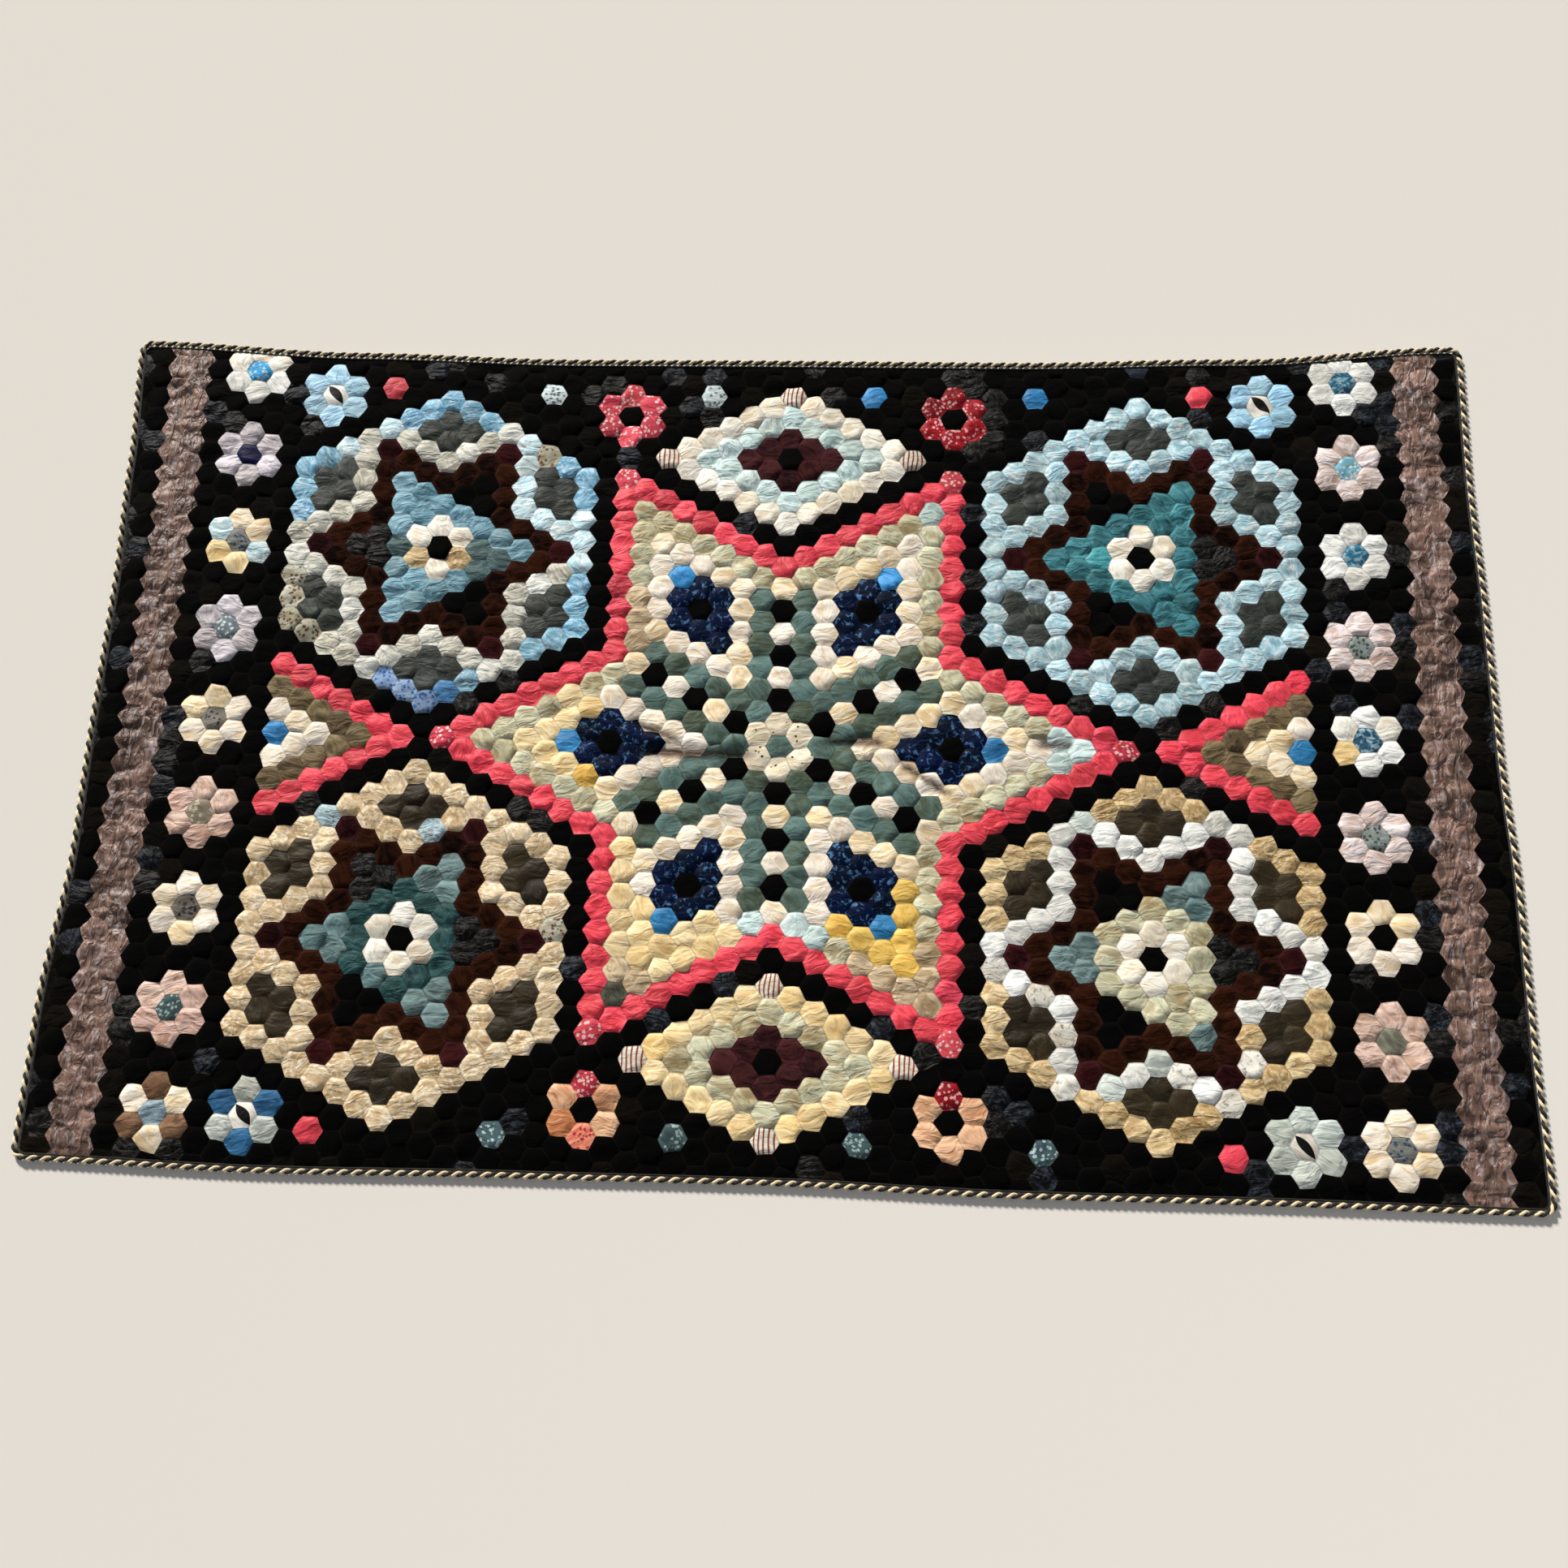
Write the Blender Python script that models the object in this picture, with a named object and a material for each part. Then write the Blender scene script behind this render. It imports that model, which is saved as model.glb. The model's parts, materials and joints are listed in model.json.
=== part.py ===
"""Hexagon patchwork quilt, laid flat with the twisted cord that edges its hem.

The pieced cloth is one thin sheet with an uneven outline, a crease across the middle of its
star and a few short tucks beside it. The cord is one length, sewn on edge to edge all round.
Metres, +Z up, +X along the quilt. The underside lies on Z = 0 and the origin is below the
middle of the quilt's box.
"""

import math

import bmesh
import bpy
from mathutils import Vector

# The side of one hexagonal patch, five eighths of an inch, sets the size of everything.
PATCH_SIDE = 0.015875
MM = 0.001
UP = Vector((0, 0, 1))

# Half the length and half the width of the straight rectangle that the hems wander about.
HALF_LENGTH = 49.3 * PATCH_SIDE
HALF_WIDTH = 30.25 * PATCH_SIDE
CORNER_RADIUS = 8 * MM

# The middle of the star, which was not pieced quite in the middle of the cloth.
STAR_MIDDLE = Vector((1.0 * MM, -12.0 * MM))

# Thickness of the pieced top with its turnings and lining, and of the thinner hem.
FIELD_THICKNESS = 4.4 * MM
HEM_THICKNESS = 3.0 * MM

# The edging cord, and the space that is kept between it and the hem.
CORD_DIAMETER = 6.6 * MM
CORD_GAP = 0.3 * MM
CORD_LIFT = 0.1 * MM
CORD_SIDES_RESOLUTION = 2

# The sheet's mesh: cells along it and across it, and the cuts that refine it at a crease.
CELLS_ALONG = 60
CELLS_ACROSS = 38
CREASE_REACH = 34 * MM
CREASE_CUTS = 2

# How far each hem stands out from the rectangle, in millimetres, at seven even steps.
# The far and near hems run from left to right, the left and right hems from near to far.
HEM_STAND_OUT = {
    "far": (7, -7, -14, -13, -13, -6, 13),
    "near": (6, 11, 8, 7, 12, 11, 13),
    "left": (0, 1, -9, -6, -5, 1, 10),
    "right": (10, 6, 6, 0, -1, -5, -3),
}
# How fast a hem's wandering dies away towards the far side of the cloth.
HEM_FADE = 4

# Creases from the middle of the star, in millimetres:
# start x, start y, end x, end y, half width of the soft slope, height (negative for a trough).
CREASES = (
    (-169, -13, -19, -14, 16, -1.9),
    (-161, 2, -41, 0, 14, 1.0),
    (45, 4, 121, 2, 14, -1.9),
    (51, -10, 127, -12, 14, 0.9),
    (-171, 24, -109, -1, 10, -1.4),
    (128, -17, 192, -59, 10, -1.5),
    (283, 4, 325, 3, 12, -1.1),
)

# Linear colours of the ground that most of the cloth is pieced from, and of the cord.
BLACK_SILK = (0.02, 0.018, 0.018)
CREAM_COTTON = (0.55, 0.48, 0.38)

# Long low swells of the cloth as it lies: waves along it, waves across it, turn, height in mm.
SWELLS = (
    (2.0, 1.0, 0.6, 0.35),
    (-3.0, 2.0, 2.1, 0.30),
    (5.0, -3.0, 4.0, 0.20),
)


def clear_scene():
    for thing in list(bpy.data.objects):
        bpy.data.objects.remove(thing, do_unlink=True)


def ease(share):
    """Rises smoothly from 0 to 1 as share does."""
    share = min(max(share, 0.0), 1.0)
    return share * share * (3 - 2 * share)


def stand_out(side, place):
    """How far one hem stands out, in metres, where place runs from -1 to 1 along it."""
    steps = HEM_STAND_OUT[side]
    position = (place + 1) / 2 * (len(steps) - 1)
    step = min(int(position), len(steps) - 2)
    share = ease(position - step)
    return MM * (steps[step] * (1 - share) + steps[step + 1] * share)


def fade(place):
    """1 at the hem where place is 1, falling to 0 at the opposite hem."""
    return ((1 + place) / 2) ** HEM_FADE


def lie(along, across):
    """Moves a point of the square -1 to 1 to where the uneven cloth has it."""
    x = along * HALF_LENGTH
    x += fade(along) * stand_out("right", across) - fade(-along) * stand_out("left", across)
    y = across * HALF_WIDTH
    y += fade(across) * stand_out("far", along) - fade(-across) * stand_out("near", along)
    return Vector((x, y, 0))


def distance_to_crease(point, crease):
    """Distance of a point from a crease's line, with the point's share along that line."""
    start = STAR_MIDDLE + Vector(crease[0:2]) * MM
    end = STAR_MIDDLE + Vector(crease[2:4]) * MM
    run = end - start
    share = (point - start).dot(run) / run.length_squared
    share = min(max(share, 0.0), 1.0)
    return (point - start - run * share).length, share


def field_height(point):
    """Height of the cloth's top at a point of the floor: swells, then creases."""
    along = point.x / HALF_LENGTH
    across = point.y / HALF_WIDTH
    height = FIELD_THICKNESS
    for waves_along, waves_across, turn, swell in SWELLS:
        angle = math.pi / 2 * (waves_along * along + waves_across * across) + turn
        height += swell * MM * math.sin(angle)
    for crease in CREASES:
        distance, share = distance_to_crease(point, crease)
        half_width, rise = crease[4] * MM, crease[5] * MM
        slope = ease(1 - distance / half_width)
        taper = ease(4 * min(share, 1 - share) + 0.25)
        height += rise * slope * taper
    return height


def make_material(name, colour, roughness):
    material = bpy.data.materials.new(name)
    material.use_nodes = True
    shader = material.node_tree.nodes["Principled BSDF"]
    shader.inputs["Base Color"].default_value = (*colour, 1.0)
    shader.inputs["Roughness"].default_value = roughness
    shader.inputs["Metallic"].default_value = 0.0
    material.diffuse_color = (*colour, 1.0)
    return material


def add_object(name, data, material):
    data.materials.append(material)
    thing = bpy.data.objects.new(name, data)
    bpy.context.scene.collection.objects.link(thing)
    return thing


def near_crease(edge):
    middle = (edge.verts[0].co + edge.verts[1].co) / 2
    return any(distance_to_crease(middle.xy, crease)[0] < CREASE_REACH for crease in CREASES)


def make_cloth():
    """The pieced cloth: a flat grid laid to the uneven outline, thickened down to the floor."""
    bm = bmesh.new()
    bmesh.ops.create_grid(bm, x_segments=CELLS_ALONG, y_segments=CELLS_ACROSS, size=1)
    for vert in bm.verts:
        vert.co = lie(vert.co.x, vert.co.y)

    corners = [vert for vert in bm.verts if len(vert.link_edges) == 2]
    bmesh.ops.bevel(bm, geom=corners, offset=CORNER_RADIUS, affect="VERTICES", segments=4,
                    profile=0.5, material=-1)

    creased = [edge for edge in bm.edges if near_crease(edge)]
    bmesh.ops.subdivide_edges(bm, edges=creased, cuts=CREASE_CUTS, use_grid_fill=True)

    for vert in bm.verts:
        vert.co.z = HEM_THICKNESS if vert.is_boundary else field_height(vert.co.xy)

    hem = [edge for edge in bm.edges if edge.is_boundary]
    wall = bmesh.ops.extrude_edge_only(bm, edges=hem)["geom"]
    foot_verts = [item for item in wall if isinstance(item, bmesh.types.BMVert)]
    foot_edges = [item for item in wall if isinstance(item, bmesh.types.BMEdge)]
    for vert in foot_verts:
        vert.co.z = 0
    bmesh.ops.contextual_create(bm, geom=foot_edges)
    bmesh.ops.recalc_face_normals(bm, faces=bm.faces)

    mesh = bpy.data.meshes.new("quilt_cloth")
    bm.to_mesh(mesh)
    bm.free()
    mesh.shade_smooth()
    mesh.set_sharp_from_angle(angle=math.radians(40))
    return add_object("quilt_cloth", mesh, make_material("pieced_silk_and_velvet", BLACK_SILK, 0.7))


def hem_loop(cloth):
    """The points of the hem in order, clockwise from above, read from the large face below."""
    mesh = cloth.data
    underside = max(mesh.polygons, key=lambda face: len(face.vertices))
    return [mesh.vertices[index].co.copy() for index in underside.vertices]


def make_edging_cord(cloth):
    """The cord: one closed round length that follows the hem, just outside it."""
    hem = hem_loop(cloth)
    reach = CORD_DIAMETER / 2 + CORD_GAP
    height = CORD_DIAMETER / 2 + CORD_LIFT
    curve = bpy.data.curves.new("edging_cord", "CURVE")
    curve.dimensions = "3D"
    curve.bevel_depth = CORD_DIAMETER / 2
    curve.bevel_resolution = CORD_SIDES_RESOLUTION
    curve.use_fill_caps = True
    spline = curve.splines.new("POLY")
    spline.points.add(len(hem) - 1)
    for index, point in enumerate(hem):
        before = (point - hem[index - 1]).normalized()
        after = (hem[(index + 1) % len(hem)] - point).normalized()
        along = (before + after).normalized()
        place = point + UP.cross(along) * reach / along.dot(before)
        spline.points[index].co = (place.x, place.y, height, 1)
    spline.use_cyclic_u = True
    return add_object("edging_cord", curve, make_material("twisted_cotton_cord", CREAM_COTTON, 0.8))


def main():
    clear_scene()
    cloth = make_cloth()
    make_edging_cord(cloth)


main()
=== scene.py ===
# %% [markdown]
# # A hexagon patchwork quilt, laid on a pale floor
# The real quilt is a mosaic of about 2,300 small hexagons of silk, velvet and cotton. Each was
# tacked over a paper hexagon, whipped to its neighbours edge to edge, and the whole was lined and
# edged with a two-colour twisted cord. Six arms of a star fill the middle, four medallions stand
# round it, and little flowers run down both sides.
# The lesson goes as the maker did: first the sizes, then the layout, the cloths, the patches, the
# lining and the cord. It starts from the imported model, which fixes where everything is.

# %% The frame
import json
import math

import bmesh
import bpy
import numpy as np
from mathutils import Matrix, Vector

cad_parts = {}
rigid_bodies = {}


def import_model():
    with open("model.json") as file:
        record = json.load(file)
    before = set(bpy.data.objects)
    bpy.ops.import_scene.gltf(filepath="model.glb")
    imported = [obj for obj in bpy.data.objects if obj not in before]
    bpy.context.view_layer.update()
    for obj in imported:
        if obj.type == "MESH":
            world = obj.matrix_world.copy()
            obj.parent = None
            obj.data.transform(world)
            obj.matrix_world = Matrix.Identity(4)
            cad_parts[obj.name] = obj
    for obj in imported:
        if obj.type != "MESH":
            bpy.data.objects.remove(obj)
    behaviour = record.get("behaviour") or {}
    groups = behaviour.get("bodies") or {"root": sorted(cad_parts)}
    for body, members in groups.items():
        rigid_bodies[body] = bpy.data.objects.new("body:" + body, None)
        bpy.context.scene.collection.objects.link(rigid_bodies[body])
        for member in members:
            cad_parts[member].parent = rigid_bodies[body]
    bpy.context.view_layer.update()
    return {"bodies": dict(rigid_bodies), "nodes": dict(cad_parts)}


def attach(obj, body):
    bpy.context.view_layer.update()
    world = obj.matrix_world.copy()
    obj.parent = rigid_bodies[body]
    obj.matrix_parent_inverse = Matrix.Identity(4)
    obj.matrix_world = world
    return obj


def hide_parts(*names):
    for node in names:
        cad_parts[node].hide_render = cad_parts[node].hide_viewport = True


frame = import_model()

print("packed nodes:", sorted(frame["nodes"]))

# %% [markdown]
# ## Sizes
# A hexagon lattice needs one number, the side of a patch. Columns of hexagons stand one and a half
# sides apart, and half a row is half the distance between two flats. A patch is named by its
# column and its half row, counted from the middle of the star, so the two always add up to an
# even number.

# %% Driving sizes
MM = 0.001
# Five eighths of an inch, a usual size of paper hexagon.
PATCH_SIDE = 0.015875
COLUMN_STEP = 1.5 * PATCH_SIDE
HALF_ROW_STEP = math.sqrt(3) / 2 * PATCH_SIDE
APOTHEM = HALF_ROW_STEP
STAR_MIDDLE = np.array((1.0 * MM, -12.0 * MM))

HALF_LENGTH = 49.3 * PATCH_SIDE
HALF_WIDTH = 30.25 * PATCH_SIDE
CORNER_RADIUS = 8 * MM
FIELD_THICKNESS = 4.4 * MM
HEM_THICKNESS = 3.0 * MM

# The cord's thickness, its gap to the hem, and how far it clears the floor.
CORD_DIAMETER = 6.6 * MM
CORD_GAP = 0.3 * MM
CORD_LIFT = 0.1 * MM
print(f"patch {2 * PATCH_SIDE / MM:.1f} mm across its points, {2 * APOTHEM / MM:.1f} mm across its flats")

# %% [markdown]
# ## How the cloth lies
# No old quilt is a true rectangle. Its far hem sags between two corners that stand out, its sides
# wander, and a crease crosses the middle of the star with a few short tucks beside it. The hems
# and the creases are short tables in real millimetres, the same as in the solid that this cloth
# replaces. A third table, which only the mosaic needs, says how far sewing by hand has pulled the
# patches out of their true places. The cloth could be sculpted by hand instead, but tables can be
# checked against a tape measure and changed one number at a time.

# %% The hems, the pull and the creases
HEM_STAND_OUT = {
    "far": (7, -7, -14, -13, -13, -6, 13),
    "near": (6, 11, 8, 7, 12, 11, 13),
    "left": (0, 1, -9, -6, -5, 1, 10),
    "right": (10, 6, 6, 0, -1, -5, -3),
}
# A hem's own shape fades this quickly towards the middle of the cloth, as a power.
HEM_FADE = 4

# How far the mosaic was pulled out of true, in mm, to the right and away from the near hem. It is
# read at these columns, from left to right, and at these half rows, from the far one to the near.
PULL_COLUMNS = (-33, -22, -11, 0, 11, 22, 33)
PULL_HALF_ROWS = (34, 17, 0, -17, -34)
PULLED_RIGHT = (
    (-8.6, -3.0, -0.1, 0.5, -0.1, -0.2, 1.3),
    (0.8, -1.2, -0.8, -2.0, -1.4, 0.0, 2.3),
    (1.4, 2.2, 0.6, -1.7, -1.0, 0.5, 0.4),
    (-2.1, 2.2, 2.0, -0.7, -1.8, 0.6, 4.1),
    (-4.1, -1.4, 0.2, 0.1, 0.2, 3.5, 8.9),
)
PULLED_AWAY = (
    (18.7, 6.4, -3.9, -2.8, -3.4, 3.4, 16.0),
    (8.2, 3.2, -4.0, -5.8, -4.1, 0.2, 11.2),
    (4.7, 0.6, -1.8, -4.6, -4.1, -0.3, 4.9),
    (2.9, 0.7, 1.3, 0.4, -2.4, 1.3, 1.2),
    (0.5, -0.8, 2.1, 3.8, -0.4, 0.5, -1.4),
)

# From the middle of the star, in mm: start x, start y, end x, end y, half width, height.
CREASES = (
    (-169, -13, -19, -14, 16, -1.9),
    (-161, 2, -41, 0, 14, 1.0),
    (45, 4, 121, 2, 14, -1.9),
    (51, -10, 127, -12, 14, 0.9),
    (-171, 24, -109, -1, 10, -1.4),
    (128, -17, 192, -59, 10, -1.5),
    (283, 4, 325, 3, 12, -1.1),
)
# The fold line itself is sharper, and it is kept as an attribute of the points, which the paint turns into
# a painted shade along it.
FOLD_LINE_DEPTH = 1.6
FOLD_LINE_SHARE = 0.46
# Long swells: waves along, waves across, turn, height in mm.
SWELLS = (
    (2.0, 1.0, 0.6, 0.35),
    (-3.0, 2.0, 2.1, 0.30),
    (5.0, -3.0, 4.0, 0.20),
)
print("the far hem sags by", HEM_STAND_OUT["far"][0] - min(HEM_STAND_OUT["far"]), "mm from its corner")

# %% [markdown]
# Small functions turn these tables into a place and a height for any point. They work on whole
# numpy arrays, which matters because there are more than a hundred thousand points.

# %% Where a point lies
def ease(share):
    """Rises smoothly from 0 to 1 as share does."""
    share = np.clip(share, 0.0, 1.0)
    return share * share * (3 - 2 * share)


def stand_out(side, place):
    """How far a hem stands out, in metres, where place runs from -1 to 1 along it."""
    steps = np.array(HEM_STAND_OUT[side], float)
    position = np.clip((place + 1) / 2, 0, 1) * (len(steps) - 1)
    step = np.minimum(position.astype(int), len(steps) - 2)
    share = ease(position - step)
    return MM * (steps[step] * (1 - share) + steps[step + 1] * share)


def fade(place):
    """1 on the hem where place is 1, falling to 0 on the one across from it."""
    return (np.clip(1 + place, 0, 2) / 2) ** HEM_FADE


def lie(points):
    """Moves points of the straight rectangle to where the uneven cloth has them."""
    along, across = points[..., 0] / HALF_LENGTH, points[..., 1] / HALF_WIDTH
    pull_x = fade(along) * stand_out("right", across) - fade(-along) * stand_out("left", across)
    pull_y = fade(across) * stand_out("far", along) - fade(-across) * stand_out("near", along)
    return points + np.stack((pull_x, pull_y), axis=-1)


def pull_out_of_true(points):
    """Moves points of the true lattice to where the mosaic, sewn by hand, really has them."""
    steps = (points - STAR_MIDDLE) / np.array((COLUMN_STEP, HALF_ROW_STEP))
    column = np.interp(steps[..., 0], PULL_COLUMNS, np.arange(len(PULL_COLUMNS)))
    towards_near = [-half_row for half_row in PULL_HALF_ROWS]
    row = np.interp(-steps[..., 1], towards_near, np.arange(len(PULL_HALF_ROWS)))
    left = np.minimum(column.astype(int), len(PULL_COLUMNS) - 2)
    far = np.minimum(row.astype(int), len(PULL_HALF_ROWS) - 2)
    to_right, to_near = (column - left)[..., None], (row - far)[..., None]
    table = MM * np.stack((PULLED_RIGHT, PULLED_AWAY), axis=-1)
    far_pull = table[far, left] * (1 - to_right) + table[far, left + 1] * to_right
    near_pull = table[far + 1, left] * (1 - to_right) + table[far + 1, left + 1] * to_right
    return points + far_pull * (1 - to_near) + near_pull * to_near


far_corner = lie(np.array(((HALF_LENGTH, HALF_WIDTH),)))[0]
print("the far right corner lies at", (far_corner / MM).round(1), "mm from the middle")


# %% How high a point is
def near_crease(points, crease):
    """Distance from a crease's line as a share of its half width, and how much of it is left."""
    start = STAR_MIDDLE + np.array(crease[0:2]) * MM
    run = np.array((crease[2] - crease[0], crease[3] - crease[1])) * MM
    share = np.clip(((points - start) @ run) / (run @ run), 0, 1)
    distance = np.linalg.norm(points - start - share[..., None] * run, axis=-1)
    return distance / (crease[4] * MM), ease(4 * np.minimum(share, 1 - share) + 0.25)


def field_height(points):
    """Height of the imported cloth's top: its thickness, its swells and its creases."""
    along, across = points[..., 0] / HALF_LENGTH, points[..., 1] / HALF_WIDTH
    height = np.full(along.shape, FIELD_THICKNESS)
    for waves_along, waves_across, turn, swell in SWELLS:
        height += swell * MM * np.sin(math.pi / 2 * (waves_along * along + waves_across * across) + turn)
    for crease in CREASES:
        distance, taper = near_crease(points, crease)
        height += crease[5] * MM * taper * ease(1 - distance)
    return height


def fold_lines(points):
    """1 on the line of a crease that sinks, falling to 0 beside it."""
    nearest = np.zeros(points.shape[:-1])
    for crease in CREASES:
        if crease[5] < 0:
            distance, taper = near_crease(points, crease)
            nearest = np.maximum(nearest, taper * np.exp(-(distance / FOLD_LINE_SHARE) ** 2))
    return nearest


middle_height = field_height(STAR_MIDDLE[None])[0]
print(f"the cloth is {middle_height / MM:.1f} mm high at the middle of the star")


# %% Tucking in at the hem
def tuck_at_hem(points, inset=0.0):
    """Pulls points beyond the hem, less an inset, back to it. Gives them and how far inside they are."""
    along, across = points[..., 0] / HALF_LENGTH, points[..., 1] / HALF_WIDTH
    right = HALF_LENGTH + stand_out("right", across) - inset
    left = inset - HALF_LENGTH - stand_out("left", across)
    far = HALF_WIDTH + stand_out("far", along) - inset
    near = inset - HALF_WIDTH - stand_out("near", along)
    inside = np.minimum(np.minimum(right - points[..., 0], points[..., 0] - left),
                        np.minimum(far - points[..., 1], points[..., 1] - near))
    radius = CORNER_RADIUS - inset
    x, y = np.clip(points[..., 0], left, right), np.clip(points[..., 1], near, far)
    middle_x = np.clip(x, left + radius, right - radius)
    middle_y = np.clip(y, near + radius, far - radius)
    reach = np.hypot(x - middle_x, y - middle_y)
    cornered = (x != middle_x) & (y != middle_y)
    shrink = np.where(cornered & (reach > radius), radius / np.maximum(reach, 1e-9), 1.0)
    inside = np.where(cornered, np.minimum(inside, radius - reach), inside)
    x, y = middle_x + (x - middle_x) * shrink, middle_y + (y - middle_y) * shrink
    return np.stack((x, y), axis=-1), inside


middle_inside = tuck_at_hem(STAR_MIDDLE[None])[1][0]
print(f"the middle of the star is {middle_inside:.2f} m from the nearest hem")

# %% [markdown]
# ## Camera
# The photograph was taken from above the near hem, a little to the right of the middle, looking
# down at the quilt. The camera's place was worked out from the perspective of the rows of patches,
# in patch sides, so it is kept in patch sides here too. Its turn is in degrees and its lens in mm.

# %% The camera
CAMERA_PLACE = Vector((6.677, -42.018, 116.516)) * PATCH_SIDE
CAMERA_TURN = (18.574, 2.392, 2.064)
CAMERA_LENS = 40.751


def link_object(name, data):
    """Makes an object at the origin and puts it in the scene."""
    thing = bpy.data.objects.new(name, data)
    bpy.context.scene.collection.objects.link(thing)
    return thing


scene = bpy.context.scene
scene.view_settings.view_transform = "Standard"
camera = link_object("camera", bpy.data.cameras.new("camera"))
camera.location = CAMERA_PLACE + Vector((*STAR_MIDDLE, FIELD_THICKNESS))
camera.rotation_euler = [math.radians(angle) for angle in CAMERA_TURN]
camera.data.lens = CAMERA_LENS
scene.camera = camera
print("the camera stands", round(camera.location.z, 2), "m above the floor")

# %% [markdown]
# ## Light
# Cloth shows its puffs and seams when a broad light comes in low from one side, with a weaker one
# to open the shadows. The first could be a lamp, but it would fall off across the quilt. So it is a
# wide soft sun, which lights the whole floor evenly, and only the second is a large lamp.

# %% The lights
ROOM_LIGHT = 0.24
KEY_FROM = Vector((-0.40, 0.80, 0.47))
KEY_STRENGTH = 5.5
KEY_SOFTNESS = math.radians(8)
FILL_PLACE = (1.6, -1.8, 2.4)
FILL_SIZE = 2.4
FILL_WATTS = 9
KEY_COLOUR, FILL_COLOUR, ROOM_COLOUR = "FFF9F1", "F2F5FF", "F4F6FA"


def linear(code):
    """Turns an sRGB hex colour into the linear RGBA that Blender's sockets hold."""
    parts = [int(code[place:place + 2], 16) / 255 for place in (0, 2, 4)]
    parts = [part / 12.92 if part <= 0.04045 else ((part + 0.055) / 1.055) ** 2.4 for part in parts]
    return (*parts, 1.0)


key = bpy.data.lights.new("window_light", "SUN")
key.energy, key.angle, key.color = KEY_STRENGTH, KEY_SOFTNESS, linear(KEY_COLOUR)[:3]
window_light = link_object("window_light", key)
window_light.rotation_euler = (-KEY_FROM).to_track_quat("-Z", "Y").to_euler()
fill = bpy.data.lights.new("fill_light", "AREA")
fill.size, fill.energy, fill.color = FILL_SIZE, FILL_WATTS, linear(FILL_COLOUR)[:3]
fill_light = link_object("fill_light", fill)
fill_light.location = FILL_PLACE
fill_light.rotation_euler = (-Vector(FILL_PLACE)).to_track_quat("-Z", "Y").to_euler()

scene.world = bpy.data.worlds.new("pale_room")
scene.world.use_nodes = True
scene.world.node_tree.nodes["Background"].inputs["Color"].default_value = linear(ROOM_COLOUR)
scene.world.node_tree.nodes["Background"].inputs["Strength"].default_value = ROOM_LIGHT
print("the key light comes from", round(math.degrees(math.asin(KEY_FROM.normalized().z))), "degrees up")

# %% [markdown]
# The floor stands in for a studio floor of pale matt paint. The real thing is rolled on and dries
# to a fine dull skin, so it is rough and nearly without gloss: it takes a soft shadow under the
# cord and gives no glare beside the dark cloth. It lies a hair below the quilt's underside.

# %% The floor
FLOOR_HALF = 4.0
FLOOR_DROP = 0.3 * MM
FLOOR_COLOUR, FLOOR_ROUGHNESS, FLOOR_GLOSS = "DDDAD4", 0.9, 0.1

bm = bmesh.new()
bmesh.ops.create_grid(bm, x_segments=1, y_segments=1, size=FLOOR_HALF)
bmesh.ops.translate(bm, verts=bm.verts, vec=(0, 0, -FLOOR_DROP))
floor_mesh = bpy.data.meshes.new("pale_floor")
bm.to_mesh(floor_mesh)
bm.free()
floor = link_object("pale_floor", floor_mesh)
paint = bpy.data.materials.new("pale_matt_paint")
paint.use_nodes = True
paint.node_tree.nodes["Principled BSDF"].inputs["Base Color"].default_value = linear(FLOOR_COLOUR)
paint.node_tree.nodes["Principled BSDF"].inputs["Roughness"].default_value = FLOOR_ROUGHNESS
paint.node_tree.nodes["Principled BSDF"].inputs["Specular IOR Level"].default_value = FLOOR_GLOSS
floor.data.materials.append(paint)
print("the floor is", 2 * FLOOR_HALF, "m square")
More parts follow.
